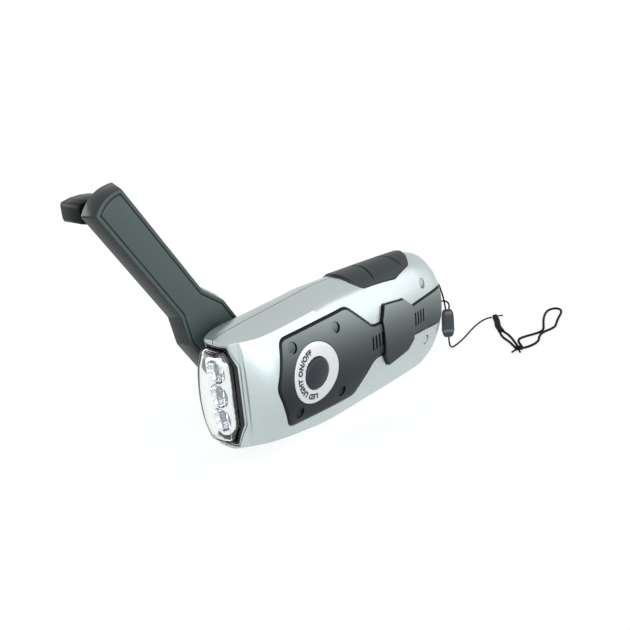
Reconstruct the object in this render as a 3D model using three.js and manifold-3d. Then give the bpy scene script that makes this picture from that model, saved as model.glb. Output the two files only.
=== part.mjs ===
// Hand crank flashlight: a flat torch with three light-emitting diodes behind a clear
// front lens, a fold-out crank that drives a small generator through two gear stages,
// a push button on the broad side, a grip pad on top and a wrist strap at the rear.
// Millimetres. X runs forward along the beam, Y towards the button side, Z up.
// The origin is the middle of the flat foot that the torch stands on.
import * as THREE from 'three';
import { mergeVertices } from 'three/addons/utils/BufferGeometryUtils.js';
import Module from 'manifold-3d';

const wasm = await Module();
wasm.setup();

// Clearances
const gap = 0.3;
const fit = 0.25;
const seam = 0.3;
const overrun = 40;

// Body: two half shells that meet on the plane Y = 0
const bodyReach = 66;
const bodyHalfHeight = 28;
const bodyHalfThickness = 18;
const shellWall = 2.2;

// Body sections, from the rear end to the front rim: place along the reach, button
// side and crank side (of the half thickness), top and bottom (of the half height),
// crease beside the narrow facets (of the half thickness), and how far the top facet
// and the bottom facet have dropped at the crease (of the half height)
const sectionShares = [
  [-1.000, 0.478, 0.478, 0.446, 0.464, 0.311, 0.179, 0.140],
  [-0.988, 0.589, 0.600, 0.589, 0.607, 0.400, 0.200, 0.140],
  [-0.955, 0.678, 0.711, 0.707, 0.743, 0.467, 0.207, 0.125],
  [-0.894, 0.739, 0.811, 0.836, 0.868, 0.500, 0.221, 0.110],
  [-0.818, 0.775, 0.867, 0.907, 0.946, 0.511, 0.225, 0.098],
  [-0.697, 0.806, 0.900, 0.961, 1.009, 0.544, 0.221, 0.085],
  [-0.515, 0.867, 0.933, 0.975, 1.009, 0.583, 0.214, 0.079],
  [-0.273, 0.933, 0.967, 0.986, 1.009, 0.617, 0.186, 0.075],
  [0.000, 0.978, 0.989, 0.996, 1.009, 0.639, 0.168, 0.071],
  [0.182, 0.994, 1.000, 0.993, 1.009, 0.661, 0.154, 0.071],
  [0.333, 1.000, 1.000, 0.961, 1.003, 0.672, 0.143, 0.071],
  [0.485, 0.994, 0.994, 0.929, 0.961, 0.683, 0.132, 0.071],
  [0.636, 0.989, 0.989, 0.896, 0.914, 0.683, 0.121, 0.068],
  [0.727, 0.950, 0.950, 0.879, 0.879, 0.683, 0.111, 0.068],
  [0.803, 0.844, 0.844, 0.861, 0.846, 0.656, 0.100, 0.064],
  [0.864, 0.694, 0.694, 0.846, 0.821, 0.589, 0.086, 0.061],
  [0.917, 0.544, 0.544, 0.829, 0.804, 0.489, 0.071, 0.054],
  [1.000, 0.480, 0.480, 0.775, 0.765, 0.420, 0.050, 0.043],
];
const cavityShares = [-0.894, -0.697, -0.273, 0.182, 0.485, 0.636, 0.727];
const facetSteps = 3;
const broadSteps = 6;
const topFacetPower = 2;
const bottomFacetPower = 4;
const creaseGrowShare = 0.6;

// Front rim: the half shells are cut back round the sides of the lens
const rimBack = 1.1;
const rimReach = bodyReach - rimBack;
const rimSideBack = 5.3;
const rimShares = [[0, 0], [0.35, 0.02], [0.58, 0.11], [0.76, 0.25], [0.88, 0.49], [1, 0.85], [1.12, 1]];
const bezelBack = 8;

// Lens opening: a tall octagon, as half widths and half heights
const openingHalfWidth = 8.6;
const openingHalfHeight = 20.5;
const openingTopHalfWidth = 6.5;
const openingCornerHeight = 12;

// Lens, seal and reflector
const sealBand = 1.2;
const lensProud = 6.1;
const lensReach = rimReach + lensProud;
const lensCrown = 3.4;
const lensSideFall = 2;
const lensEdge = 1.2;
const octagonShares = [0, 0.5];
const lensFaceShares = [1, 0.72, 0.4];
const lensWall = 1.3;
const lensFlange = 0.9;
const lensFlangeDepth = 1.6;
const flangeHalfHeight = 18.2;
const sealStep = 0.5;
const reflectorInset = 3.4;
const reflectorSink = 1.1;
const reflectorReach = rimReach - reflectorSink;
const reflectorFlangeDepth = 1.6;
const cupMouthRadius = 4.7;
const cupDepth = 7.4;
const cupSides = 18;
const ledPitch = 9.8;
const ledRadius = 2.5;
const ledFlangeRadius = 2.9;
const ledFlangeDepth = 1;
const ledLength = 8.6;
const domeAngleShares = [0, 0.3, 0.6];
const ledBoardThickness = 1.6;
const ledBoardHalfWidth = 5.8;
const ledBoardHalfHeight = 17;
const ribThickness = 1.6;
const ribHalfWidth = 3;

// Inlay panel on the button side; heights are measured from mid height
const panelProud = 0.25;
const panelDepth = 0.8;
const pocketDepth = 1.1;
const panelFrontBack = 15.8;
const panelFront = bodyReach - panelFrontBack;
const panelCornerBack = 5.7;
const panelCornerPlace = panelFront - panelCornerBack;
const panelCornerHeight = 18.2;
const panelPeakPlace = 6;
const panelPeakHeight = 19.6;
const panelNeckPlace = -6.8;
const panelNeckHeight = 7.5;
const panelTailPlace = -37;
const panelTailHeight = 7.2;
const panelEndMargin = 2.8;
const panelEnd = panelEndMargin - bodyReach;
const panelEndHeight = 8.8;
const panelCornerRadius = 1.6;

// Vent slots, four in front of the clasp and four behind it
const ventCount = 4;
const ventPitch = 2.25;
const ventWidth = 1;
const ventHeight = 6.2;
const frontVentPlace = -5.5;
const rearVentPlace = -38.3;

// Button, ring and switch
const buttonBack = 36;
const buttonPlace = bodyReach - buttonBack;
const ringRadius = 12.5;
const ringProud = 0.4;
const buttonRadius = 6.5;
const buttonProud = 0.5;
const buttonDome = 0.9;
const buttonFlange = 1;
const buttonFlangeDepth = 1.1;
const buttonStemRadius = 2.2;
const buttonTravel = 0.8;
const domeShares = [0.62, 0.72];
const plungerRadius = 1.6;
const plungerProud = 0.9;
const switchSize = 6.2;
const switchHeight = 2.6;

// Control board behind the button
const boardFace = 9;
const boardThickness = 1.6;
const boardBehind = 18;
const boardRear = buttonPlace - boardBehind;
const boardAhead = 17;
const boardFront = buttonPlace + boardAhead;
const boardHalfHeight = 10.2;
const boardPostRadius = 1.3;
const boardPostInset = 2.4;

// Clasp over the neck of the inlay panel; heights are measured from mid height
const claspProud = 1.8;
const claspSink = 0.7;
const claspFront = -12.4;
const claspFrontHalf = 8;
const claspFrontCornerPlace = -16;
const claspFrontCornerHeight = 13.8;
const claspRearCornerPlace = -30.6;
const claspRearCornerHeight = 11.9;
const claspRear = -35.2;
const claspRearHalf = 8;

// Grip pad on the top narrow side, seen from above
const padProud = 0.4;
const padLobeRise = 0.7;
const padDepth = 0.9;
const padPocketDepth = 1.2;
const padFrontPlace = -8;
const padFrontBow = 6.2;
const padShoulderPlace = -4.6;
const padShoulderHalfWidth = 8;
const padHalfWidth = 11.2;
const padSidePlace = -31;
const padSideHalfWidth = 10.8;
const padRearCornerPlace = -44.5;
const padRearCornerHalfWidth = 7.8;
const padEnd = -49.4;
const padEndHalfWidth = 2.4;
const ridgePlaces = [-20.5, -37.5];
const ridgeBow = 8;
const ridgeGroove = 0.9;
const ridgeSteps = 6;

// Crank axis and the knob's place along the arm, which the case screws keep clear of
const crankBack = 29;
const crankPlace = bodyReach - crankBack;
const armTipMargin = 10.4;
const armLength = crankPlace + bodyReach - armTipMargin;
const knobInset = 6.6;
const knobPlace = armLength - knobInset;

// Case screws: place along the body, height from mid height and length under the head
const frontScrewAhead = 2.7;
const frontScrewHeight = 13.6;
const frontScrewLength = 11.6;
const middleScrewBehind = 22;
const middleScrewHeight = 13.9;
const middleScrewLength = 17;
const rearScrewAhead = 0.5;
const rearScrewHeight = 13.55;
const rearScrewLength = 13;
const screwRows = [
  { place: crankPlace + frontScrewAhead, height: frontScrewHeight, length: frontScrewLength },
  { place: crankPlace - middleScrewBehind, height: middleScrewHeight, length: middleScrewLength },
  { place: crankPlace - knobPlace + rearScrewAhead, height: rearScrewHeight, length: rearScrewLength },
];
const screwHeadRadius = 2;
const screwHeadDepth = 1.3;
const screwShaftRadius = 1;
const screwSink = 2.3;
const screwSeat = 0.8;
const screwBossRadius = 3.1;
const screwTubeRadius = 2.1;
const screwPostRadius = 2.3;

// Crank: the recess that the folded arm lies in, and the well of the hub
const crankAngle = 57.5;
const recessFloor = 10.7;
const recessClear = 0.7;
const recessWall = 1.7;
const hubRadius = 13.6;
const hubThickness = 2.4;
const wellClear = 0.5;
const hubTop = 10.6;
const hingeOut = 19;
const knuckleRadius = 3.1;
const postHalfWidth = 4;
const hingePinRadius = 1.25;
const hingePinInset = 0.6;
const shaftRadius = 2.5;
const hexSides = 6;
const shaftSink = 1.6;
const bushRadius = 4.2;

// Crank arm, along its own length from the hinge
const armThickness = 7;
const armFaceOut = 20;
const armHalfWidth = 7.15;
const armHubHalfWidth = 11.65;
const armDraft = 1.75;
const armTipCrown = 1.9;
const armTipShares = [0.5, 0.25];
const armFlareStart = 25;
const armFlareEnd = 36.4;
const armFaceLine = 1.5;
const armFaceLineWidth = 0.5;
const armFaceLineDepth = 0.4;
const slotLength = 3.8;
const slotClear = 0.4;
const lugOuter = 11.2;

// Knob, on its pin near the tip of the arm
const knobHalfLength = 8.3;
const knobHalfHeight = 3.6;
const knobCrown = 1.2;
const knobCrownShares = [[1, -1], [0.94, 0], [0.5, 0.75], [0, 1], [-0.5, 0.75], [-0.94, 0], [-1, -1]];
const knobEdge = 0.8;
const knobStart = 30.5;
const knobLength = 13;
const neckRadius = 3.3;
const knobPinRadius = 1.4;
const knobPinHeadRadius = 2.6;
const knobPinHeadDepth = 1.4;
const knobPinHold = 3;
const knobPocketRadius = 9.8;
const knobPocketWall = 1.4;

// Gear train: crank gear, idler with a pinion and a wheel, rotor pinion
const firstModule = 0.8;
const secondModule = 0.6;
const crankTeeth = 30;
const idlerPinionTeeth = 10;
const idlerWheelTeeth = 36;
const rotorTeeth = 10;
const pressureAngle = 25;
const addendumShare = 0.85;
const dedendumShare = 1.2;
const backlash = 0.2;
const crankGearWidth = 2.4;
const idlerWheelWidth = 1.8;
const axleRadius = 1.2;
const rotorShaftRadius = 1;

// Gear plate that holds the inner ends of the shafts
const plateThickness = 1.6;
const plateHalfHeight = 18;
const plateAhead = 10;
const plateFrontPlace = crankPlace + plateAhead;
const plateSideBehind = 13;
const plateSidePlace = crankPlace - plateSideBehind;
const plateRearHalf = 5;
const platePostAhead = 7;
const platePostPlace = crankPlace + platePostAhead;
const platePostHeight = 16;
const platePostRadius = 2.2;
const plateScrewRadius = 0.9;
const plateScrewHeadRadius = 1.8;
const plateScrewHeadDepth = 1.2;
const plateScrewLength = 4.5;

// Generator
const canRadius = 10.3;
const canWall = 1;
const coilThickness = 2.2;
const rotorRadius = 6;
const capThickness = 1;
const canPostBehind = 5.7;
const canPostHeight = 7.5;
const rotorBossRadius = 2.6;

// Button cells
const cellRadius = 7.7;
const cellLength = 5.8;
const cellCount = 3;
const cellBehind = 58;
const cellPlace = crankPlace - cellBehind;
const cellOut = -1;
const cradleWall = 1.4;
const cradleHalf = 6;

// Wrist strap, at its two eyelets in the rear end
const eyeletOut = 6;
const eyeletTopHeight = 8;
const eyeletBottomHeight = -2.2;
const eyeletRadius = 0.75;
const stringRadius = 0.4;
const loopRadius = 0.6;
const anchorMargin = 1.8;
const anchorWidth = 2.4;
const anchorThickness = 1.6;
const beadLength = 14;
const beadWidth = 6;
const beadThickness = 3.6;
const beadTurn = 135;
const beadShares = [[0, 0.55], [0.06, 0.8], [0.16, 0.95], [0.5, 1], [0.82, 0.94], [0.94, 0.74], [1, 0.4]];
const cornerPower = 0.7;
const stringTop = 7.2;
const topKnotRadius = 1.4;
const topKnotHeight = 1.85;
const sleeveHalfWidth = 1.6;
const sleeveHeight = 1.7;
const loopKnotRadius = 2;
const loopKnotHeight = 2.15;
const tailHalfWidth = 0.55;
const tailHeight = 1.1;
const groundGap = 0.05;
const cordSides = 8;

// Round shapes
const roundSides = 28;
const smallSides = 12;
const cornerShare = 0.45;

const degree = Math.PI / 180;
const midHeight = bodyHalfHeight;
const rearEnd = -bodyReach;

// A closed geometry as a solid, and back
function toSolid(geometry) {
  const bare = geometry.clone();
  bare.deleteAttribute('normal');
  bare.deleteAttribute('uv');
  const welded = mergeVertices(bare);
  const vertProperties = new Float32Array(welded.attributes.position.array);
  const triVerts = new Uint32Array(welded.index.array);
  return new wasm.Manifold(new wasm.Mesh({ numProp: 3, vertProperties, triVerts }));
}

function toGeometry(solid) {
  const { vertProperties, triVerts } = solid.getMesh();
  const geometry = new THREE.BufferGeometry();
  geometry.setAttribute('position', new THREE.BufferAttribute(vertProperties, 3));
  geometry.setIndex(new THREE.BufferAttribute(triVerts, 1));
  geometry.computeVertexNormals();
  return geometry;
}

// A solid through rings of points that all have the same count
function loft(rings) {
  const count = rings[0].length;
  const points = rings.flat();
  const triangles = [];
  for (let ring = 0; ring < rings.length - 1; ring += 1) {
    for (let side = 0; side < count; side += 1) {
      const near = ring * count + side;
      const next = ring * count + ((side + 1) % count);
      triangles.push(near, next, next + count, near, next + count, near + count);
    }
  }
  closeEnd(points, triangles, rings[0], 0, true);
  closeEnd(points, triangles, rings.at(-1), (rings.length - 1) * count, false);
  const geometry = new THREE.BufferGeometry().setFromPoints(points);
  geometry.setIndex(signedVolume(points, triangles) < 0 ? triangles.reverse() : triangles);
  return toSolid(geometry);
}

function closeEnd(points, triangles, ring, first, flipped) {
  const centre = new THREE.Vector3();
  ring.forEach((point) => centre.add(point));
  points.push(centre.divideScalar(ring.length));
  const middle = points.length - 1;
  for (let side = 0; side < ring.length; side += 1) {
    const here = first + side;
    const next = first + ((side + 1) % ring.length);
    triangles.push(...(flipped ? [middle, next, here] : [middle, here, next]));
  }
}

function signedVolume(points, triangles) {
  let sum = 0;
  const normal = new THREE.Vector3();
  for (let i = 0; i < triangles.length; i += 3) {
    normal.crossVectors(points[triangles[i + 1]], points[triangles[i + 2]]);
    sum += points[triangles[i]].dot(normal);
  }
  return sum;
}

// Outlines are lists of two numbers, counter-clockwise
function extruded(points, length) {
  const shape = new THREE.Shape(points.map(([across, up]) => new THREE.Vector2(across, up)));
  return new THREE.ExtrudeGeometry(shape, { depth: length, bevelEnabled: false, curveSegments: 1 });
}

const xAxis = new THREE.Vector3(1, 0, 0);
const yAxis = new THREE.Vector3(0, 1, 0);
const zAxis = new THREE.Vector3(0, 0, 1);

function prismX(points, low, high) {
  const turn = new THREE.Matrix4().makeBasis(yAxis, zAxis, xAxis);
  return toSolid(extruded(points, high - low).applyMatrix4(turn).translate(low, 0, 0));
}

function prismY(points, low, high) {
  const turn = new THREE.Matrix4().makeBasis(xAxis, zAxis, yAxis.clone().negate());
  return toSolid(extruded(points, high - low).applyMatrix4(turn).translate(0, high, 0));
}

function prismZ(points, low, high) {
  return toSolid(extruded(points, high - low).translate(0, 0, low));
}

function rodGeometryY(radius, low, high, x, z, sides, tipRadius) {
  const rod = new THREE.CylinderGeometry(tipRadius, radius, high - low, sides);
  return rod.translate(x, (low + high) / 2, z);
}

function rodY(radius, low, high, x, z, sides = smallSides, tipRadius = radius) {
  return toSolid(rodGeometryY(radius, low, high, x, z, sides, tipRadius));
}

function rodX(radius, low, high, y, z, sides = smallSides, tipRadius = radius) {
  const rod = new THREE.CylinderGeometry(tipRadius, radius, high - low, sides);
  return toSolid(rod.rotateZ(-Math.PI / 2).translate((low + high) / 2, y, z));
}

function rodZ(radius, low, high, x, y, sides = smallSides) {
  const rod = new THREE.CylinderGeometry(radius, radius, high - low, sides);
  return toSolid(rod.rotateX(Math.PI / 2).translate(x, y, (low + high) / 2));
}

function block(xLow, xHigh, yLow, yHigh, zLow, zHigh) {
  const box = new THREE.BoxGeometry(xHigh - xLow, yHigh - yLow, zHigh - zLow);
  return toSolid(box.translate((xLow + xHigh) / 2, (yLow + yHigh) / 2, (zLow + zHigh) / 2));
}

function offsetOutline(points, amount) {
  const count = points.length;
  return points.map((point, i) => {
    const before = points[(i + count - 1) % count];
    const after = points[(i + 1) % count];
    const first = edgeNormal(before, point);
    const second = edgeNormal(point, after);
    const reach = amount / (1 + first.dot(second));
    return [point[0] + (first.x + second.x) * reach, point[1] + (first.y + second.y) * reach];
  });
}

function edgeNormal(from, to) {
  return new THREE.Vector2(to[1] - from[1], from[0] - to[0]).normalize();
}

// Each corner becomes a short curve that starts one radius from it
function roundedOutline(points, radius, steps = 2) {
  const count = points.length;
  return points.flatMap((point, i) => {
    const corner = new THREE.Vector2(...point);
    const start = towards(corner, new THREE.Vector2(...points[(i + count - 1) % count]), radius);
    const end = towards(corner, new THREE.Vector2(...points[(i + 1) % count]), radius);
    const curve = new THREE.QuadraticBezierCurve(start, corner, end);
    return curve.getPoints(steps).map((spot) => [spot.x, spot.y]);
  });
}

function towards(from, to, length) {
  const whole = from.distanceTo(to);
  return from.clone().lerp(to, Math.min(length / whole, cornerShare));
}

// The half of an outline above the middle line, from front to rear, and its mirror image
function mirrored(upper) {
  const lower = upper.filter(([, up]) => up > 0).reverse();
  return [...upper, ...lower.map(([along, up]) => [along, -up])];
}

function lifted(outline) {
  return outline.map(([along, height]) => [along, midHeight + height]);
}

// Body surface, grown outwards by an amount, or shrunk by a negative one
function sectionAt(place, grow) {
  const share = THREE.MathUtils.clamp(place / bodyReach, sectionShares[0][0], 1);
  const above = Math.max(1, sectionShares.findIndex((row) => row[0] >= share));
  const [low, high] = [sectionShares[above - 1], sectionShares[above]];
  const part = (share - low[0]) / (high[0] - low[0]);
  const row = low.map((value, i) => value + (high[i] - value) * part);
  return {
    button: row[1] * bodyHalfThickness + grow,
    crank: row[2] * bodyHalfThickness + grow,
    top: row[3] * bodyHalfHeight + grow,
    bottom: row[4] * bodyHalfHeight + grow,
    crease: row[5] * bodyHalfThickness + grow * creaseGrowShare,
    topDrop: row[6] * bodyHalfHeight,
    bottomDrop: row[7] * bodyHalfHeight,
  };
}

function sideOutline(section, half) {
  const points = [];
  const high = section.top - section.topDrop;
  const low = section.bottom - section.bottomDrop;
  for (let i = 0; i < facetSteps; i += 1) {
    const share = i / facetSteps;
    points.push([section.crease * share, section.top - section.topDrop * share ** topFacetPower]);
  }
  for (let i = 0; i <= broadSteps; i += 1) {
    const height = high - ((high + low) * i) / broadSteps;
    const bow = (height / (height > 0 ? high : low)) ** 2;
    points.push([half - (half - section.crease) * bow, height]);
  }
  for (let i = facetSteps - 1; i >= 0; i -= 1) {
    const share = i / facetSteps;
    points.push([section.crease * share, section.bottomDrop * share ** bottomFacetPower - section.bottom]);
  }
  return points;
}

function ringAt(place, grow) {
  const section = sectionAt(place, grow);
  const near = sideOutline(section, section.button);
  const far = sideOutline(section, section.crank).slice(1, -1).reverse();
  const outline = [...near, ...far.map(([out, height]) => [-out, height])];
  return outline.map(([out, height]) => new THREE.Vector3(place, out, midHeight + height));
}

function bodySolid(grow, from = rearEnd, to = bodyReach) {
  const places = sectionShares.map((row) => row[0] * bodyReach);
  const between = places.filter((place) => place > from && place < to);
  return loft([from, ...between, to].map((place) => ringAt(place, grow)));
}

function faceOut(place, height) {
  const section = sectionAt(place, 0);
  const reach = height > 0 ? section.top - section.topDrop : section.bottom - section.bottomDrop;
  return section.button - (section.button - section.crease) * (height / reach) ** 2;
}

// Outlines of the panels on the broad button side
const panelOutline = roundedOutline(mirrored([
  [panelFront, 0],
  [panelCornerPlace, panelCornerHeight],
  [panelPeakPlace, panelPeakHeight],
  [panelNeckPlace, panelNeckHeight],
  [panelTailPlace, panelTailHeight],
  [panelEnd, panelEndHeight],
]), panelCornerRadius);

const claspOutline = mirrored([
  [claspFront, claspFrontHalf],
  [claspFrontCornerPlace, claspFrontCornerHeight],
  [claspRearCornerPlace, claspRearCornerHeight],
  [claspRear, claspRearHalf],
]);

// Outline of the grip pad from above; its front edge bows forwards at the seam
const padCorners = mirrored([
  [padFrontPlace + padFrontBow, 0],
  [padShoulderPlace, padShoulderHalfWidth],
  [padFrontPlace, padHalfWidth],
  [padSidePlace, padSideHalfWidth],
  [padRearCornerPlace, padRearCornerHalfWidth],
  [padEnd, padEndHalfWidth],
]);
const padOutline = roundedOutline(padCorners, panelCornerRadius);

const openingOutline = octagon(0);

function octagon(inset) {
  const quarter = [
    [openingHalfWidth, openingCornerHeight],
    [openingTopHalfWidth, openingHalfHeight],
  ];
  const right = quarter.map(([across, up]) => [across, up]);
  const left = quarter.map(([across, up]) => [-across, up]).reverse();
  return offsetOutline(turnedOver([...right, ...left]), -inset);
}

// Adds the mirror image below the middle line to the points above it
function turnedOver(upper) {
  return [...upper, ...upper.map(([across, up]) => [-across, -up])];
}

// Everything in front of the rim, which is cut back round the sides of the lens
function beforeRim(shift) {
  const edge = rimShares.map(([out, back]) => [
    rimReach + shift - back * rimSideBack,
    out * openingHalfWidth,
  ]);
  const lower = edge.slice(1).reverse().map(([reach, out]) => [reach, -out]);
  const [sideReach] = edge.at(-1);
  const corners = [
    [sideReach, overrun],
    [bodyReach + overrun, overrun],
    [bodyReach + overrun, -overrun],
    [sideReach, -overrun],
  ];
  return prismZ([...corners, ...lower, ...edge], -overrun, bodyHalfHeight + midHeight + overrun);
}

// Levels across the thickness, from the hub on the crank side to the button
const hubInner = hubThickness - hubTop;
const wellFloor = hubInner + gap;
const wellInner = wellFloor + recessWall;
const recessInner = recessWall - recessFloor;
const firstGearLow = wellInner + slotClear;
const firstGearHigh = firstGearLow + crankGearWidth;
const wheelLow = firstGearHigh + gap;
const wheelHigh = wheelLow + idlerWheelWidth;
const plateLow = wheelHigh + slotClear;
const plateHigh = plateLow + plateThickness;
const boardBack = boardFace - boardThickness;
const canHigh = boardBack - gap;
const foldedKnobEnd = knobStart + knobLength - 2 * hingeOut;

// Places of the gear axes, in a row behind the crank
const idlerPlace = crankPlace - (firstModule * (crankTeeth + idlerPinionTeeth)) / 2;
const rotorPlace = idlerPlace - (secondModule * (idlerWheelTeeth + rotorTeeth)) / 2;
const plateRear = idlerPlace - axleRadius - fit - recessWall;

// Levels along the beam, from the bezel back to the diode board
const bezelPlace = rimReach - bezelBack;
const lensFlangeFront = bezelPlace - gap;
const lensFlangeBack = lensFlangeFront - lensFlangeDepth;
const reflectorFlangeFront = lensFlangeBack - gap;
const reflectorBack = reflectorFlangeFront - reflectorFlangeDepth;
const ledBoardFront = reflectorBack - gap;
const ledBoardBack = ledBoardFront - ledBoardThickness;
const ribFront = ledBoardBack - gap;

// Cavity between the two half shells, and the case with the openings at its ends
function cavity() {
  const places = [rearEnd + shellWall, ...cavityShares.map((share) => share * bodyReach), bezelPlace];
  return loft(places.map((place) => ringAt(place, -shellWall)));
}

function buttonHalf(solid) {
  return solid.intersect(block(-overrun * 3, overrun * 3, seam / 2, overrun, -overrun, overrun * 3));
}

function crankHalf(solid) {
  return solid.intersect(block(-overrun * 3, overrun * 3, -overrun, -seam / 2, -overrun, overrun * 3));
}

function sharedCuts(shell) {
  const opening = prismX(lifted(openingOutline), bezelPlace - shellWall, bodyReach + overrun);
  const foot = block(-bodyReach * 2, bodyReach * 2, -overrun, overrun, -overrun, 0);
  const pad = prismZ(offsetOutline(padOutline, gap), midHeight, midHeight + overrun);
  return shell
    .subtract(opening)
    .subtract(beforeRim(0))
    .subtract(foot)
    .subtract(pad.subtract(bodySolid(-padPocketDepth)));
}

function ledRib(side) {
  const high = ledBoardHalfHeight + gap;
  const low = ledBoardHalfHeight - ribHalfWidth;
  const reach = [side * ribHalfWidth, side * overrun].sort((a, b) => a - b);
  const place = [ribFront - ribThickness, ribFront];
  const upper = block(...place, ...reach, midHeight + low, midHeight + high);
  const lower = block(...place, ...reach, midHeight - high, midHeight - low);
  return upper.add(lower);
}

// Each case screw above and below mid height, with the level that its head sits at
const screws = screwRows.flatMap((row) => [1, -1].map((side) => {
  const headOut = faceOut(row.place, row.height) - screwSink;
  return {
    place: row.place,
    z: midHeight + side * row.height,
    headOut,
    seat: headOut - screwHeadDepth,
    length: row.length,
    inPlate: row === screwRows[0],
  };
}));

function screwBoss(screw) {
  const cup = rodY(screwBossRadius, screw.seat - screwSeat, overrun, screw.place, screw.z);
  if (screw.inPlate) {
    return cup;
  }
  return cup.add(rodY(screwTubeRadius, seam / 2, screw.seat, screw.place, screw.z));
}

function boardCorners() {
  const height = boardHalfHeight - boardPostInset;
  return [
    [boardFront - boardPostInset, height],
    [boardFront - boardPostInset, -height],
    [boardRear + boardPostInset, height],
    [boardRear + boardPostInset, -height],
  ];
}

// Shallow pockets in the broad face for the inlay panel, the ring and the clasp
function facePockets() {
  const panel = prismY(lifted(offsetOutline(panelOutline, gap)), 0, overrun);
  const clasp = prismY(lifted(offsetOutline(claspOutline, gap)), 0, overrun);
  const below = bodySolid(-pocketDepth);
  return panel.add(clasp).subtract(below);
}

function eyelets() {
  const places = [eyeletTopHeight, eyeletBottomHeight];
  const [top, bottom] = places.map((height) => (
    rodX(eyeletRadius, -overrun * 3, rearEnd + shellWall * 2, eyeletOut, midHeight + height)
  ));
  return top.add(bottom);
}

// Half shell on the button side
function buttonSideShell() {
  let inside = ledRib(1);
  for (const screw of screws) {
    inside = inside.add(screwBoss(screw));
  }
  for (const [place, height] of boardCorners()) {
    inside = inside.add(rodY(boardPostRadius, boardFace + gap, overrun, place, midHeight + height));
  }
  const wall = bodySolid(0).subtract(cavity()).add(inside.intersect(bodySolid(-fit)));
  let shell = sharedCuts(buttonHalf(wall)).subtract(facePockets()).subtract(eyelets());
  shell = shell.subtract(rodY(buttonRadius + fit, boardFace, overrun, buttonPlace, midHeight, roundSides));
  for (const screw of screws) {
    shell = shell
      .subtract(rodY(screwHeadRadius + fit, screw.seat - gap, overrun, screw.place, screw.z))
      .subtract(rodY(screwShaftRadius + fit, -overrun, overrun, screw.place, screw.z));
  }
  return shell;
}

// Recess of the folded arm on the crank side, seen from the side; it grows for its wall
function recessOutline(grow) {
  const hubHalf = armHubHalfWidth + armDraft + recessClear;
  const armHalf = armHalfWidth + armDraft + recessClear;
  const outline = [
    [crankPlace, hubHalf],
    [crankPlace - armFlareStart, hubHalf],
    [crankPlace - armFlareEnd, armHalf],
    [crankPlace - armLength - recessClear, armHalf],
  ];
  return lifted(offsetOutline(mirrored(outline), grow));
}

function recessCut() {
  const arm = prismY(recessOutline(0), -overrun, -recessFloor);
  const well = rodY(hubRadius + wellClear, -overrun, wellFloor, crankPlace, midHeight, roundSides);
  const knobFloor = foldedKnobEnd + recessClear;
  const knob = rodY(knobPocketRadius, -overrun, knobFloor, crankPlace - knobPlace, midHeight, roundSides);
  return arm.add(well).add(knob);
}

function recessWalls() {
  const arm = prismY(recessOutline(recessWall), -overrun, recessInner);
  const wellOuter = hubRadius + wellClear + recessWall;
  const well = rodY(wellOuter, -overrun, wellInner, crankPlace, midHeight, roundSides);
  return arm.add(well);
}

function knobPocketWalls() {
  const floor = foldedKnobEnd + recessClear + knobPocketWall;
  const outer = knobPocketRadius + knobPocketWall;
  return rodY(outer, -overrun, floor, crankPlace - knobPlace, midHeight, roundSides);
}

// Posts that carry the gear plate and the generator, and the cradle of the cells
function platePosts() {
  const front = [platePostPlace, platePostHeight];
  const rear = [2 * idlerPlace - plateRear, platePostHeight];
  return [front, rear].flatMap(([place, height]) => [
    [place, height],
    [place, -height],
  ]);
}

function crankPosts() {
  let posts = rodY(rotorBossRadius, -overrun, wheelLow - gap, rotorPlace, midHeight);
  posts = posts.add(rodY(axleRadius + recessWall, -overrun, wellInner, idlerPlace, midHeight));
  for (const [place, height] of platePosts()) {
    posts = posts.add(rodY(platePostRadius, -overrun, plateLow - gap, place, midHeight + height));
  }
  for (const side of [1, -1]) {
    const z = midHeight + side * canPostHeight;
    posts = posts.add(rodY(screwPostRadius, -overrun, plateLow - gap, rotorPlace - canPostBehind, z));
  }
  for (const screw of screws.filter((one) => !one.inPlate)) {
    posts = posts.add(rodY(screwPostRadius, -overrun, -seam / 2, screw.place, screw.z));
  }
  return posts;
}

function cradle() {
  const inner = cellRadius + gap;
  const outer = inner + cradleWall;
  const half = (cellCount * (cellLength + gap) + gap) / 2;
  const along = [cellPlace - cradleHalf, cellPlace + cradleHalf, -overrun, cellOut];
  const upright = [-overrun, cellOut, midHeight - cradleHalf, midHeight + cradleHalf];
  return block(cellPlace + inner, cellPlace + outer, ...upright)
    .add(block(cellPlace - outer, cellPlace - inner, ...upright))
    .add(block(...along, midHeight + half, midHeight + half + cradleWall))
    .add(block(...along, midHeight - half - cradleWall, midHeight - half));
}

// Half shell on the crank side
function crankSideShell() {
  const inside = recessWalls().add(crankPosts()).add(cradle()).add(ledRib(-1));
  const wall = bodySolid(0).subtract(cavity()).add(inside.intersect(bodySolid(-fit)));
  const pocket = knobPocketWalls().intersect(bodySolid(-fit));
  let shell = sharedCuts(crankHalf(wall).add(pocket)).subtract(recessCut());
  shell = shell.subtract(rodY(bushRadius + fit, -overrun, overrun, crankPlace, midHeight));
  shell = shell.subtract(rodY(axleRadius + fit, recessInner - gap, overrun, idlerPlace, midHeight));
  shell = shell.subtract(rodY(rotorShaftRadius + fit, recessInner, overrun, rotorPlace, midHeight));
  for (const screw of screws.filter((one) => !one.inPlate)) {
    const reach = screw.seat - screw.length - gap;
    shell = shell.subtract(rodY(screwShaftRadius + fit, reach, overrun, screw.place, screw.z));
  }
  for (const [place, height] of platePosts().slice(0, 2)) {
    const reach = plateLow - plateScrewLength;
    shell = shell.subtract(rodY(plateScrewRadius + fit, reach, overrun, place, midHeight + height));
  }
  return shell;
}

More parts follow.
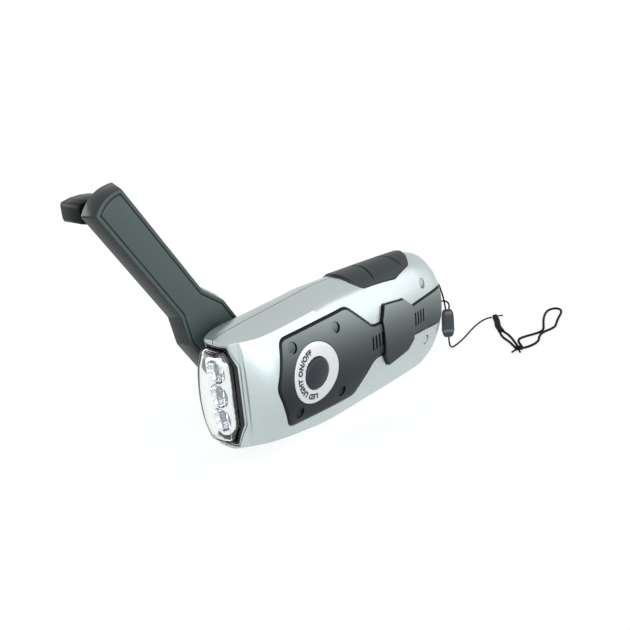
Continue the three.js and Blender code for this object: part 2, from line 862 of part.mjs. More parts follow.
// Inlay panel with its vent slots, and the ring round the button
function ventSlots(start) {
  let slots = null;
  for (let i = 0; i < ventCount; i += 1) {
    const middle = start - i * ventPitch;
    const across = [middle - ventWidth / 2, middle + ventWidth / 2];
    const slot = block(...across, 0, overrun, midHeight - ventHeight / 2, midHeight + ventHeight / 2);
    slots = slots ? slots.add(slot) : slot;
  }
  return slots;
}

function faceLayer(outer, inner, prism) {
  return bodySolid(outer).subtract(bodySolid(inner)).intersect(prism);
}

function inlayPanel() {
  let panel = faceLayer(panelProud, -panelDepth, prismY(lifted(panelOutline), 0, overrun));
  panel = panel.subtract(rodY(ringRadius + fit, 0, overrun, buttonPlace, midHeight, roundSides));
  panel = panel.subtract(ventSlots(frontVentPlace)).subtract(ventSlots(rearVentPlace));
  for (const screw of screws) {
    panel = panel.subtract(rodY(screwHeadRadius + fit, 0, overrun, screw.place, screw.z));
  }
  return panel;
}

function buttonRing() {
  const outer = rodY(ringRadius, 0, overrun, buttonPlace, midHeight, roundSides);
  const hole = rodY(buttonRadius + fit, 0, overrun, buttonPlace, midHeight, roundSides);
  return faceLayer(ringProud, -panelDepth, outer.subtract(hole));
}

// A saddle over the neck of the inlay panel
function clasp() {
  const saddle = faceLayer(claspProud, -claspSink, prismY(lifted(claspOutline), 0, overrun));
  const neck = prismY(lifted(offsetOutline(panelOutline, gap)), 0, overrun);
  return saddle.subtract(neck.intersect(bodySolid(panelProud + gap)));
}

// Push button: a domed cap, a flange behind the wall and a stem to the switch
const buttonFace = faceOut(buttonPlace, 0);
const flangeHigh = faceOut(buttonPlace, buttonRadius + buttonFlange) - shellWall - gap;
const switchTop = boardFace + switchHeight;
const plungerTop = switchTop + plungerProud;

function powerButton() {
  const flangeLow = flangeHigh - buttonFlangeDepth;
  const cap = buttonFace + buttonProud;
  const profile = [
    [0, plungerTop + gap],
    [buttonStemRadius, plungerTop + gap],
    [buttonStemRadius, flangeLow],
    [buttonRadius + buttonFlange, flangeLow],
    [buttonRadius + buttonFlange, flangeHigh],
    [buttonRadius, flangeHigh],
    [buttonRadius, cap],
    [buttonRadius * domeShares[0], cap + buttonDome * domeShares[1]],
    [0, cap + buttonDome],
  ];
  return latheY(profile, buttonPlace, midHeight, roundSides);
}

function latheY(profile, x, z, sides) {
  const points = profile.map(([radius, level]) => new THREE.Vector2(radius, level));
  return toSolid(new THREE.LatheGeometry(points, sides).translate(x, 0, z));
}

function switchPlunger() {
  return rodY(plungerRadius, switchTop - gap, plungerTop, buttonPlace, midHeight);
}

function switchBody() {
  const half = switchSize / 2;
  const reach = [buttonPlace - half, buttonPlace + half];
  const body = block(...reach, boardFace, switchTop, midHeight - half, midHeight + half);
  const bore = switchTop - buttonTravel - 2 * gap - fit;
  return body.subtract(rodY(plungerRadius + fit, bore, overrun, buttonPlace, midHeight));
}

function controlBoard() {
  const height = [midHeight - boardHalfHeight, midHeight + boardHalfHeight];
  return block(boardRear, boardFront, boardBack, boardFace - fit, ...height);
}

function caseScrew(screw) {
  const head = rodY(screwHeadRadius, screw.seat, screw.headOut, screw.place, screw.z);
  return head.add(rodY(screwShaftRadius, screw.seat - screw.length, screw.seat + fit, screw.place, screw.z));
}

// Grip pad: a thin base with three raised lobes between two bowed grooves
function ridgeBand(place) {
  const points = [];
  for (let i = 0; i <= ridgeSteps; i += 1) {
    const share = (2 * i) / ridgeSteps - 1;
    points.push([place + ridgeBow * share ** 2, share * bodyHalfThickness]);
  }
  const back = points.map(([along, across]) => [along - ridgeGroove, across]).reverse();
  return prismZ([...points, ...back], midHeight, midHeight + overrun);
}

function gripPad() {
  const base = prismZ(padOutline, midHeight, midHeight + overrun);
  const inner = roundedOutline(offsetOutline(padCorners, -ridgeGroove), panelCornerRadius);
  let lobes = prismZ(inner, midHeight, midHeight + overrun);
  for (const place of ridgePlaces) {
    lobes = lobes.subtract(ridgeBand(place));
  }
  const low = faceLayer(padProud, -padDepth, base);
  return low.add(faceLayer(padProud + padLobeRise, -padDepth, lobes));
}

// Front of the torch: the lens with its crowned face, a seal, the reflector and the diodes
function fineOctagon(inset) {
  const outline = octagon(inset);
  return outline.flatMap((point, i) => {
    const after = outline[(i + 1) % outline.length];
    const from = new THREE.Vector2(...point);
    const to = new THREE.Vector2(...after);
    return octagonShares.map((share) => from.clone().lerp(to, share).toArray());
  });
}

function lensRing(outline, share, sink) {
  return outline.map(([out, height]) => {
    const fall = lensSideFall * ((out * share) / openingHalfWidth) ** 2;
    const crown = lensCrown * ((height * share) / openingHalfHeight) ** 2;
    return new THREE.Vector3(lensReach - crown - fall - sink, out * share, midHeight + height * share);
  });
}

function lensBody(inset, sink, back) {
  const side = fineOctagon(inset);
  const face = fineOctagon(inset + lensEdge);
  const base = side.map(([out, height]) => new THREE.Vector3(back, out, midHeight + height));
  const crowned = lensFaceShares.map((share) => lensRing(face, share, sink));
  return loft([base, lensRing(side, 1, sink + lensEdge), ...crowned]);
}

function flangePlate(inset, low, high) {
  const limit = [midHeight - flangeHalfHeight, midHeight + flangeHalfHeight];
  const plate = prismX(lifted(octagon(inset)), low, high);
  return plate.intersect(block(low, high, -overrun, overrun, ...limit));
}

function lens() {
  const outer = lensBody(sealBand + 2 * gap, 0, lensFlangeBack);
  const hollow = lensBody(sealBand + 2 * gap + lensWall, lensWall, lensFlangeBack - overrun);
  return outer.add(flangePlate(-lensFlange, lensFlangeBack, lensFlangeFront)).subtract(hollow);
}

function lensSeal() {
  const outer = prismX(lifted(octagon(gap)), bezelPlace, bodyReach);
  const inner = prismX(lifted(octagon(gap + sealBand)), bezelPlace - overrun, bodyReach + overrun);
  return outer.subtract(inner).subtract(beforeRim(-sealStep));
}

function ledHeights() {
  return [1, 0, -1].map((place) => midHeight + place * ledPitch);
}

function reflector() {
  let solid = prismX(lifted(octagon(reflectorInset)), reflectorBack, reflectorReach);
  solid = solid.add(flangePlate(-lensFlange + gap, reflectorBack, reflectorFlangeFront));
  const cupBack = reflectorReach - cupDepth;
  for (const height of ledHeights()) {
    const throat = ledRadius + gap;
    const pocket = ledFlangeRadius + gap;
    const flangeFront = reflectorBack + ledFlangeDepth + gap;
    solid = solid
      .subtract(rodX(throat, cupBack, reflectorReach, 0, height, cupSides, cupMouthRadius))
      .subtract(rodX(cupMouthRadius, reflectorReach, reflectorReach + overrun, 0, height, cupSides))
      .subtract(rodX(throat, reflectorBack - overrun, cupBack + gap, 0, height, cupSides))
      .subtract(rodX(pocket, reflectorBack - overrun, flangeFront, 0, height, cupSides));
  }
  return solid;
}

function ledDiode(height) {
  const domeStart = reflectorBack + ledLength - ledRadius;
  const flangeFront = reflectorBack + ledFlangeDepth;
  const dome = domeAngleShares.map((share) => {
    const angle = (share * Math.PI) / 2;
    return [ledRadius * Math.cos(angle), domeStart + ledRadius * Math.sin(angle)];
  });
  const profile = [
    [0, reflectorBack],
    [ledFlangeRadius, reflectorBack],
    [ledFlangeRadius, flangeFront],
    [ledRadius, flangeFront],
    ...dome,
    [0, domeStart + ledRadius],
  ];
  const points = profile.map(([radius, reach]) => new THREE.Vector2(radius, reach));
  const geometry = new THREE.LatheGeometry(points, smallSides);
  return toSolid(geometry.rotateZ(-Math.PI / 2).translate(0, 0, height));
}

function ledBoard() {
  const across = [-ledBoardHalfWidth, ledBoardHalfWidth];
  const height = [midHeight - ledBoardHalfHeight, midHeight + ledBoardHalfHeight];
  return block(ledBoardBack, ledBoardFront, ...across, ...height);
}

// Involute gear outline; turn is the direction of one tooth
function involute(angle) {
  return Math.tan(angle) - angle;
}

function gearOutline(module, teeth, turn) {
  const pitchRadius = (module * teeth) / 2;
  const pressure = pressureAngle * degree;
  const baseRadius = pitchRadius * Math.cos(pressure);
  const tipRadius = pitchRadius + module * addendumShare;
  const rootRadius = pitchRadius - module * dedendumShare;
  const halfTooth = Math.PI / teeth / 2 - backlash / pitchRadius / 4;
  const flank = [rootRadius, tipRadius].map((radius) => {
    const rolled = Math.acos(Math.min(1, baseRadius / radius));
    return [radius, halfTooth + involute(pressure) - involute(rolled)];
  });
  const points = [];
  for (let tooth = 0; tooth < teeth; tooth += 1) {
    const middle = turn * degree + (2 * Math.PI * tooth) / teeth;
    const rising = flank.map(([radius, half]) => [radius, middle - half]);
    const falling = flank.map(([radius, half]) => [radius, middle + half]).reverse();
    points.push(...rising, ...falling);
  }
  return points.map(([radius, angle]) => [radius * Math.cos(angle), radius * Math.sin(angle)]);
}

function moved(outline, along, up) {
  return outline.map(([x, z]) => [x + along, z + up]);
}

function crankGear() {
  const turn = 180 - crankAngle;
  const gear = prismY(gearOutline(firstModule, crankTeeth, turn), firstGearLow, firstGearHigh);
  return gear.subtract(rodY(shaftRadius + fit, -overrun, overrun, 0, 0, hexSides));
}

function idlerGear() {
  const halfPitch = 180 / idlerPinionTeeth;
  const pinion = moved(gearOutline(firstModule, idlerPinionTeeth, halfPitch), idlerPlace, midHeight);
  const wheel = moved(gearOutline(secondModule, idlerWheelTeeth, 0), idlerPlace, midHeight);
  const gear = prismY(pinion, firstGearLow, wheelLow).add(prismY(wheel, wheelLow, wheelHigh));
  return gear.subtract(rodY(axleRadius + fit, -overrun, overrun, idlerPlace, midHeight));
}

function idlerAxle() {
  return rodY(axleRadius, recessInner - gap + fit / 2, plateHigh - gap, idlerPlace, midHeight);
}

// Gear plate: it holds the inner ends of the shafts, the front case screws and the board
function gearPlate() {
  let plate = prismY(lifted(mirrored([
    [plateFrontPlace, plateHalfHeight],
    [plateSidePlace, plateHalfHeight],
    [plateRear, plateRearHalf],
  ])), plateLow, plateHigh);
  for (const screw of screws.filter((one) => one.inPlate)) {
    const top = screw.seat - screwSeat - gap;
    const hole = screw.seat - screw.length - gap;
    plate = plate
      .add(rodY(screwPostRadius, plateLow, top, screw.place, screw.z))
      .subtract(rodY(screwShaftRadius + fit, hole, overrun, screw.place, screw.z));
  }
  for (const [place, height] of boardCorners().slice(0, 2)) {
    plate = plate.add(rodY(boardPostRadius, plateLow, boardBack - gap, place, midHeight + height));
  }
  for (const [place, height] of platePosts().slice(0, 2)) {
    const hole = rodY(plateScrewRadius + fit, -overrun, overrun, place, midHeight + height);
    plate = plate.subtract(hole);
  }
  return plate
    .subtract(rodY(shaftRadius + gap, -overrun, overrun, crankPlace, midHeight))
    .subtract(rodY(axleRadius + fit, -overrun, overrun, idlerPlace, midHeight));
}

function plateScrew(place, height) {
  const seat = plateHigh + gap;
  const head = rodY(plateScrewHeadRadius, seat, seat + plateScrewHeadDepth, place, midHeight + height);
  return head.add(rodY(plateScrewRadius, seat - plateScrewLength, seat, place, midHeight + height));
}

// Generator: an open can with a pole ring, a magnet on its shaft and a cap
const capHigh = canHigh - fit;
const capLow = capHigh - capThickness;
const canFloor = plateLow + canWall;
const coilRadius = canRadius - canWall - gap;

function ring(outer, inner, low, high, place, sides) {
  const disc = rodY(outer, low, high, place, midHeight, sides);
  return disc.subtract(rodY(inner, low - overrun, high + overrun, place, midHeight, sides));
}

function generatorCan() {
  const can = rodY(canRadius, plateLow, canHigh, rotorPlace, midHeight, roundSides);
  return can
    .subtract(rodY(canRadius - canWall, canFloor, overrun, rotorPlace, midHeight, roundSides))
    .subtract(rodY(rotorShaftRadius + fit, -overrun, overrun, rotorPlace, midHeight));
}

function generatorCoil() {
  return ring(coilRadius, coilRadius - coilThickness, canFloor + gap, capLow - gap, rotorPlace, roundSides);
}

function generatorCap() {
  return ring(coilRadius, rotorShaftRadius + fit, capLow, capHigh, rotorPlace, roundSides);
}

function rotorMagnet() {
  return ring(rotorRadius, rotorShaftRadius + fit, canFloor + gap, capLow - gap, rotorPlace, roundSides);
}

function rotorShaft() {
  const halfPitch = 180 / rotorTeeth;
  const pinion = moved(gearOutline(secondModule, rotorTeeth, halfPitch), rotorPlace, midHeight);
  const shaft = rodY(rotorShaftRadius, recessInner + gap, capHigh - gap, rotorPlace, midHeight);
  return shaft.add(prismY(pinion, wheelLow, wheelHigh));
}

function batteryCell(index) {
  const middle = midHeight + (index - (cellCount - 1) / 2) * (cellLength + gap);
  const low = middle - cellLength / 2;
  return rodZ(cellRadius, low, low + cellLength, cellPlace, cellOut, roundSides);
}

// Crank parts in their own group: local X runs along the arm, the axis is Y
function crankBush() {
  const low = wellFloor + fit / 5;
  return ring(bushRadius, shaftRadius + gap, low, wellInner + fit / 2, crankPlace, smallSides);
}

function crankHub() {
  const post = block(-knuckleRadius, knuckleRadius, -hingeOut, -hubTop, -postHalfWidth, postHalfWidth);
  const top = rodZ(knuckleRadius, -postHalfWidth, postHalfWidth, 0, -hingeOut);
  return rodY(hubRadius, -hubTop, hubInner, 0, 0, roundSides)
    .add(post)
    .add(top)
    .subtract(rodZ(hingePinRadius + fit, -overrun, overrun, 0, -hingeOut))
    .subtract(rodY(shaftRadius + fit, hubInner - shaftSink, overrun, 0, 0, hexSides));
}

function crankShaft() {
  return rodY(shaftRadius, hubInner - shaftSink + gap, plateHigh - gap, 0, 0, hexSides);
}

function hingePin() {
  const half = lugOuter - hingePinInset;
  return rodZ(hingePinRadius, -half, half, 0, -hingeOut);
}

function armOutline(grow) {
  const corner = armLength - armTipCrown;
  return offsetOutline(mirrored([
    [armLength, 0],
    [armLength - armTipCrown * armTipShares[1], armHalfWidth * armTipShares[0]],
    [corner, armHalfWidth],
    [armFlareEnd, armHalfWidth],
    [armFlareStart, armHubHalfWidth],
    [0, armHubHalfWidth],
  ]), grow);
}

function armBody() {
  const level = (outline, out) => outline.map(([along, up]) => new THREE.Vector3(along, out, up));
  const near = level(armOutline(0), -armFaceOut);
  const far = level(armOutline(armDraft), -armFaceOut - armThickness);
  const behind = block(-overrun, 0, -overrun, overrun, -overrun, overrun);
  return loft([near, far]).subtract(behind);
}

function faceLine() {
  const outer = armOutline(-armFaceLine).filter(([along]) => along > slotLength);
  const low = -armFaceOut - armFaceLineDepth;
  const groove = prismY(outer, low, overrun);
  return groove.subtract(prismY(offsetOutline(outer, -armFaceLineWidth), -overrun, overrun));
}

function crankArm() {
  const slotHalf = postHalfWidth + slotClear;
  let arm = armBody();
  for (const side of [1, -1]) {
    const reach = [side * slotHalf, side * lugOuter].sort((a, b) => a - b);
    const lug = rodZ(knuckleRadius, ...reach, 0, -hingeOut);
    const root = block(0, knuckleRadius, -armFaceOut - knuckleRadius, -hingeOut, ...reach);
    arm = arm.add(lug).add(root);
  }
  const neckEnd = knobStart - gap;
  return arm
    .add(rodY(neckRadius, -neckEnd, -armFaceOut - knobPinHold, knobPlace, 0))
    .subtract(faceLine())
    .subtract(block(-overrun, slotLength, -overrun, overrun, -slotHalf, slotHalf))
    .subtract(rodZ(hingePinRadius + fit, -overrun, overrun, 0, -hingeOut))
    .subtract(rodY(knobPinRadius + fit, -overrun, fit - knobPinEnd, knobPlace, 0));
}

// Knob: a rounded bar that turns on a headed pin
const knobPinEnd = armFaceOut + armThickness - knobPinHold;
const knobEnd = knobStart + knobLength;
const counterbore = knobEnd - knobPinHeadDepth - gap;

function knobPin() {
  const headLow = -counterbore - knobPinHeadDepth;
  const shaft = rodY(knobPinRadius, -counterbore, -knobPinEnd, knobPlace, 0);
  return shaft.add(rodY(knobPinHeadRadius, headLow, -counterbore, knobPlace, 0));
}

function knobOutline(inset) {
  const crown = knobCrownShares.map(([along, up]) => [
    along * knobHalfLength,
    knobHalfHeight + knobCrown * up,
  ]);
  const lower = [...crown].reverse().map(([along, up]) => [along, -up]);
  return offsetOutline([...crown, ...lower], -inset);
}

function crankKnob() {
  const level = (inset, out) => knobOutline(inset).map(([along, up]) => new THREE.Vector3(along, -out, up));
  const rings = [
    level(knobEdge, knobStart),
    level(0, knobStart + knobEdge),
    level(0, knobEnd - knobEdge),
    level(knobEdge, knobEnd),
  ];
  return loft(rings)
    .subtract(rodY(knobPinRadius + fit, -overrun * 2, overrun, 0, 0))
    .subtract(rodY(knobPinHeadRadius + gap, -overrun * 2, gap - counterbore, 0, 0));
}

// Wrist strap. The routes are places in the part's own frame, chosen by hand
const strapRoutes = {
  strap_eyelet_string_1: [
    [-61.8, 6, 36], [-66, 6, 36], [-67.6, 6.1, 35.7], [-69.2, 6.6, 34.2], [-70.3, 7, 31],
    [-70.8, 7.7, 28], [-71, 8.2, 25], [-70.8, 8.9, 21.8],
  ],
  strap_eyelet_string_2: [
    [-61.8, 6, 25.8], [-66, 6, 25.8], [-67.6, 6.9, 25.9], [-68.8, 8.3, 26.3], [-70.2, 9.8, 26],
    [-71.3, 10.5, 24.4], [-72, 10.1, 21.8],
  ],
  strap_string: [
    [-71.6, 9.6, 7.2], [-71.8, 9.6, 5], [-72.6, 9.5, 2.4], [-74.6, 9.3, 0.8], [-78, 8.9, 0.42],
    [-84, 8, 0.42], [-92, 6.2, 0.42], [-100, 4, 0.42], [-108, 2.3, 0.42], [-114.5, 1.6, 0.42],
    [-118.8, 2, 0.42], [-121.2, 3.2, 0.42],
  ],
  strap_lead_1: [
    [-104.3, 18, 0.62], [-98.7, 23.4, 0.62], [-94.3, 29.9, 0.62], [-89.6, 35.6, 0.62],
  ],
  strap_lead_2: [
    [-105.6, 19.6, 0.62], [-102.3, 24.7, 0.62], [-96.9, 30.6, 0.62], [-91, 36.4, 0.62],
  ],
  strap_wrist_loop: [
    [-91.6, 39.4, 0.62], [-95.3, 40.6, 0.62], [-100.1, 41, 0.62], [-104, 40.2, 0.62],
    [-107.5, 38.6, 0.62], [-111.5, 37.4, 0.62], [-115.5, 37.2, 0.62], [-119.5, 38, 0.62],
    [-124, 38.2, 0.62], [-128.5, 36.8, 0.62], [-133.5, 34.9, 0.62], [-139.3, 33, 0.62],
    [-145, 31, 0.62], [-148.8, 28.4, 0.62], [-149.2, 25.6, 0.62], [-146, 23.9, 0.62],
    [-141, 24.4, 0.62], [-134.4, 26.8, 0.62], [-128.5, 29.6, 0.62], [-123, 32.6, 0.62],
    [-118.5, 34.9, 0.62], [-114.5, 35.6, 0.62], [-109.9, 34.4, 0.62], [-105.5, 32.6, 0.62],
    [-101.5, 31.6, 0.62], [-98.6, 32.2, 0.62], [-96.2, 33.9, 0.62], [-93.6, 36.4, 0.62],
    [-91.9, 37.7, 0.62],
  ],
};
const strapSteps = {
  strap_eyelet_string_1: 6,
  strap_eyelet_string_2: 5,
  strap_string: 23,
  strap_lead_1: 7,
  strap_lead_2: 7,
  strap_wrist_loop: 32,
};
const sleeveRoute = [[-120.8, 5.7], [-116, 9.6], [-110.3, 13.6], [-105.3, 18.5]];
const topKnotPlace = [-122.2, 4.6];
const topKnotTail = [-126.5, 6.8];
const loopKnotPlace = [-89.4, 38.1];
const loopKnotTails = [[-83.7, 37.3], [-85.6, 40.5]];
const beadPlace = [-71.4, 9.5];

function cord(name, radius) {
  const section = new THREE.Shape();
  for (let side = 0; side < cordSides; side += 1) {
    const angle = (2 * Math.PI * side) / cordSides;
    const corner = [radius * Math.cos(angle), radius * Math.sin(angle)];
    if (side === 0) {
      section.moveTo(...corner);
    } else {
      section.lineTo(...corner);
    }
  }
  const path = new THREE.CatmullRomCurve3(strapRoutes[name].map((place) => new THREE.Vector3(...place)));
  const settings = { steps: strapSteps[name], bevelEnabled: false, extrudePath: path, curveSegments: 1 };
  return new THREE.ExtrudeGeometry(section, settings);
}

function strapAnchor() {
  const front = rearEnd + shellWall + gap;
  const reach = [eyeletOut - anchorWidth / 2, eyeletOut + anchorWidth / 2];
  const low = midHeight + eyeletBottomHeight - anchorMargin;
  const high = midHeight + eyeletTopHeight + anchorMargin;
  return block(front, front + anchorThickness, ...reach, low, high).subtract(eyelets());
}

function strapBead() {
  const low = stringTop + gap;
  const rings = beadShares.map(([rise, size]) => beadRing(low + rise * beadLength, size));
  return loft(rings);
}

function beadRing(height, size) {
  const turn = beadTurn * degree;
  const points = [];
  for (let side = 0; side < smallSides; side += 1) {
    const angle = (2 * Math.PI * side) / smallSides;
    const wide = rounder(Math.cos(angle)) * (beadWidth / 2) * size;
    const deep = rounder(Math.sin(angle)) * (beadThickness / 2) * size;
    const x = beadPlace[0] + wide * Math.cos(turn) - deep * Math.sin(turn);
    const y = beadPlace[1] + wide * Math.sin(turn) + deep * Math.cos(turn);
    points.push(new THREE.Vector3(x, y, height));
  }
  return points;
}

function rounder(value) {
  return Math.sign(value) * Math.abs(value) ** cornerPower;
}

// A knot is a flattened ball with one or two short tails; it lies on the ground
function knot(place, radius, height, tails) {
  const ball = new THREE.SphereGeometry(1, smallSides, cordSides).rotateX(Math.PI / 2);
  const half = height / 2;
  let solid = toSolid(ball.scale(radius, radius, half).translate(...place, groundGap + half));
  for (const tail of tails) {
    solid = solid.add(ribbon([place, tail], tailHalfWidth, tailHeight));
  }
  return solid;
}

function ribbon(route, half, height) {
  const left = route.map((point, i) => {
    const before = new THREE.Vector2(...route[Math.max(0, i - 1)]);
    const after = new THREE.Vector2(...route[Math.min(route.length - 1, i + 1)]);
    const along = after.sub(before).normalize();
    return [point, [-along.y * half, along.x * half]];
  });
  const upper = left.map(([point, side]) => [point[0] + side[0], point[1] + side[1]]).reverse();
  const lower = left.map(([point, side]) => [point[0] - side[0], point[1] - side[1]]);
  return prismZ([...lower, ...upper], groundGap, groundGap + height);
}

// Looks of the pieces: colour, roughness and metalness
const looks = {
  silver: [0xb9bdbd, 0.32, 0.75],
  inlay: [0x434e4f, 0.4, 0.35],
  darkRubber: [0x3c4545, 0.75, 0],
  button: [0x3d3f4b, 0.45, 0],
  arm: [0x4f5a5a, 0.5, 0.1],
  knob: [0x232b2a, 0.25, 0],
  clear: [0xdfe6e6, 0.05, 0],
  chrome: [0xe2e2e0, 0.12, 1],
  diode: [0xf2f0dc, 0.15, 0],
  board: [0x2d5a3a, 0.55, 0],
  steel: [0xa7a9ab, 0.3, 1],
  zinc: [0x8f9494, 0.4, 1],
  bronze: [0x9a7440, 0.4, 1],
  natural: [0xdcd8c8, 0.55, 0],
  blackPlastic: [0x26282a, 0.5, 0],
  copper: [0xb06a3c, 0.35, 1],
  magnet: [0x4a4b4d, 0.6, 0.6],
  cord: [0x1f2624, 0.85, 0],
  bead: [0x3a424b, 0.5, 0],
};

function piece(name, shape, look) {
  const geometry = shape instanceof THREE.BufferGeometry ? shape : toGeometry(shape);
  const [color, roughness, metalness] = looks[look];
  const mesh = new THREE.Mesh(geometry, new THREE.MeshStandardMaterial({ color, roughness, metalness }));
  mesh.name = name;
  return mesh;
}

function casePieces() {
  return [
    piece('button_side_shell', buttonSideShell(), 'silver'),
    piece('crank_side_shell', crankSideShell(), 'silver'),
    piece('inlay_panel', inlayPanel(), 'inlay'),
    piece('button_ring', buttonRing(), 'silver'),
    piece('clasp', clasp(), 'inlay'),
    piece('grip_pad', gripPad(), 'darkRubber'),
    ...screws.map((screw, i) => piece(`case_screw_${i + 1}`, caseScrew(screw), 'zinc')),
  ];
}

function lampPieces() {
  return [
    piece('lens', lens(), 'clear'),
    piece('lens_seal', lensSeal(), 'blackPlastic'),
    piece('reflector', reflector(), 'chrome'),
    ...ledHeights().map((height, i) => piece(`led_${i + 1}`, ledDiode(height), 'diode')),
    piece('led_board', ledBoard(), 'board'),
  ];
}

function switchPieces() {
  return [
    piece('power_button', powerButton(), 'button'),
    piece('switch_plunger', switchPlunger(), 'natural'),
    piece('switch_body', switchBody(), 'blackPlastic'),
    piece('control_board', controlBoard(), 'board'),
  ];
}

function drivePieces() {
  const plateScrews = platePosts().slice(0, 2).map(([place, height], i) => (
    piece(`plate_screw_${i + 1}`, plateScrew(place, height), 'zinc')
  ));
  const cells = [...Array(cellCount).keys()].map((index) => (
    piece(`battery_cell_${index + 1}`, batteryCell(index), 'steel')
  ));
  return [
    piece('gear_plate', gearPlate(), 'blackPlastic'),
    ...plateScrews,
    piece('crank_bush', crankBush(), 'bronze'),
    piece('idler_gear', idlerGear(), 'natural'),
    piece('idler_axle', idlerAxle(), 'steel'),
    piece('generator_can', generatorCan(), 'steel'),
    piece('generator_coil', generatorCoil(), 'copper'),
    piece('generator_cap', generatorCap(), 'blackPlastic'),
    piece('rotor_magnet', rotorMagnet(), 'magnet'),
    piece('rotor_shaft', rotorShaft(), 'steel'),
    ...cells,
  ];
}

// The crank group is turned to where the arm stands; the knob's bar is level again
function crankGroup() {
  const group = new THREE.Group();
  group.position.set(crankPlace, 0, midHeight);
  group.rotation.y = -crankAngle * degree;
  group.add(
    piece('crank_hub', crankHub(), 'darkRubber'),
    piece('crank_shaft', crankShaft(), 'steel'),
    piece('crank_gear', crankGear(), 'natural'),
    piece('hinge_pin', hingePin(), 'steel'),
    piece('crank_arm', crankArm(), 'arm'),
    piece('knob_pin', knobPin(), 'steel'),
  );
  const knob = new THREE.Group();
  knob.position.set(knobPlace, 0, 0);
  knob.rotation.y = crankAngle * degree;
  knob.add(piece('crank_knob', crankKnob(), 'knob'));
  group.add(knob);
  return group;
}

function strapPieces() {
  return [
    piece('strap_anchor', strapAnchor(), 'zinc'),
    piece('strap_eyelet_string_1', cord('strap_eyelet_string_1', stringRadius), 'cord'),
    piece('strap_eyelet_string_2', cord('strap_eyelet_string_2', stringRadius), 'cord'),
    piece('strap_bead', strapBead(), 'bead'),
    piece('strap_string', cord('strap_string', stringRadius), 'cord'),
    piece('strap_top_knot', knot(topKnotPlace, topKnotRadius, topKnotHeight, [topKnotTail]), 'cord'),
    piece('strap_sleeve', ribbon(sleeveRoute, sleeveHalfWidth, sleeveHeight), 'cord'),
    piece('strap_lead_1', cord('strap_lead_1', loopRadius), 'cord'),
    piece('strap_lead_2', cord('strap_lead_2', loopRadius), 'cord'),
    piece('strap_knot', knot(loopKnotPlace, loopKnotRadius, loopKnotHeight, loopKnotTails), 'cord'),
    piece('strap_wrist_loop', cord('strap_wrist_loop', loopRadius), 'cord'),
  ];
}

const torch = new THREE.Group();
torch.add(...casePieces(), ...lampPieces(), ...switchPieces(), ...drivePieces(), ...strapPieces());
torch.add(crankGroup());

export default torch;
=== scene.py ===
# Hand crank flashlight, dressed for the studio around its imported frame.
# Lengths in this file are millimetres until mm() turns them into Blender's metres.
import bpy
from math import cos, pi, radians, sin, sqrt
from mathutils import Matrix, Vector


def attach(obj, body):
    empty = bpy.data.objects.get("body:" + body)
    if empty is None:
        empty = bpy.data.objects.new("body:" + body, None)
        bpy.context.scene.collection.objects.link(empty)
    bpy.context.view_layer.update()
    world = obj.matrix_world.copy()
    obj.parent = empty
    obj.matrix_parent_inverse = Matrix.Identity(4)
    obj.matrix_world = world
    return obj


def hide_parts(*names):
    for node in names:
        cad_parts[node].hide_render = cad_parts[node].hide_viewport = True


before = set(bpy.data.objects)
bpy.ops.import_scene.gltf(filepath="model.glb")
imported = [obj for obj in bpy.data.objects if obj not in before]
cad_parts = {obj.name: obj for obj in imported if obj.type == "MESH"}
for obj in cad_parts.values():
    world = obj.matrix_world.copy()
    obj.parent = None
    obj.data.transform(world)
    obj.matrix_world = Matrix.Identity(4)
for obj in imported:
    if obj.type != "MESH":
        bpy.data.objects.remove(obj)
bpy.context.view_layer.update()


METRE = 1000


def mm(value):
    return value / METRE


def mm_point(x, y, z):
    return Vector((mm(x), mm(y), mm(z)))


# Driving sizes, as on the solids
GAP = 0.3
FIT = 0.25
SEAM = 0.3
BODY_REACH = 66
HALF_HEIGHT = 28
HALF_THICKNESS = 18
MIDDLE = HALF_HEIGHT
WALL = 2.2
REAR_END = -BODY_REACH
OVERRUN = 40

# Camera: place, target and roll that give the photograph's view
CAMERA_PLACE = (243.1, 229.3, 156.5)
CAMERA_TARGET = (9.9, 0, 42.7)
CAMERA_ROLL = -5.28
CAMERA_LENS = 47.6
SENSOR_WIDTH = 36
CAMERA_CLIP = 10


def add_camera():
    place = mm_point(*CAMERA_PLACE)
    back = (place - mm_point(*CAMERA_TARGET)).normalized()
    right = Vector((0, 0, 1)).cross(back).normalized()
    up = back.cross(right)
    roll = radians(CAMERA_ROLL)
    turned_right = right * cos(roll) + up * sin(roll)
    turned_up = up * cos(roll) - right * sin(roll)
    bpy.ops.object.camera_add(location=place)
    camera = bpy.context.object
    camera.name = "studio_camera"
    camera.rotation_euler = Matrix((turned_right, turned_up, back)).transposed().to_euler()
    camera.data.lens = CAMERA_LENS
    camera.data.sensor_width = SENSOR_WIDTH
    camera.data.clip_start = mm(CAMERA_CLIP)
    bpy.context.scene.camera = camera


# Modelling helpers. Corners closer than MERGE become one; edges that bend less than SMOOTH_ANGLE
# look smooth
MERGE = 0.002
SMOOTH_ANGLE = 32


def pick(obj):
    bpy.ops.object.select_all(action="DESELECT")
    obj.select_set(True)
    bpy.context.view_layer.objects.active = obj


def start_edit(obj):
    pick(obj)
    bpy.ops.object.mode_set(mode="EDIT")
    bpy.ops.mesh.select_all(action="SELECT")


def end_edit():
    bpy.ops.object.mode_set(mode="OBJECT")


def heal(obj, merge=MERGE):
    """Joins doubled corners and turns every face outwards."""
    start_edit(obj)
    bpy.ops.mesh.remove_doubles(threshold=mm(merge))
    bpy.ops.mesh.normals_make_consistent(inside=False)
    end_edit()


def settle(obj):
    """Puts the piece's place into its mesh."""
    pick(obj)
    bpy.ops.object.transform_apply(location=True, rotation=True, scale=True)


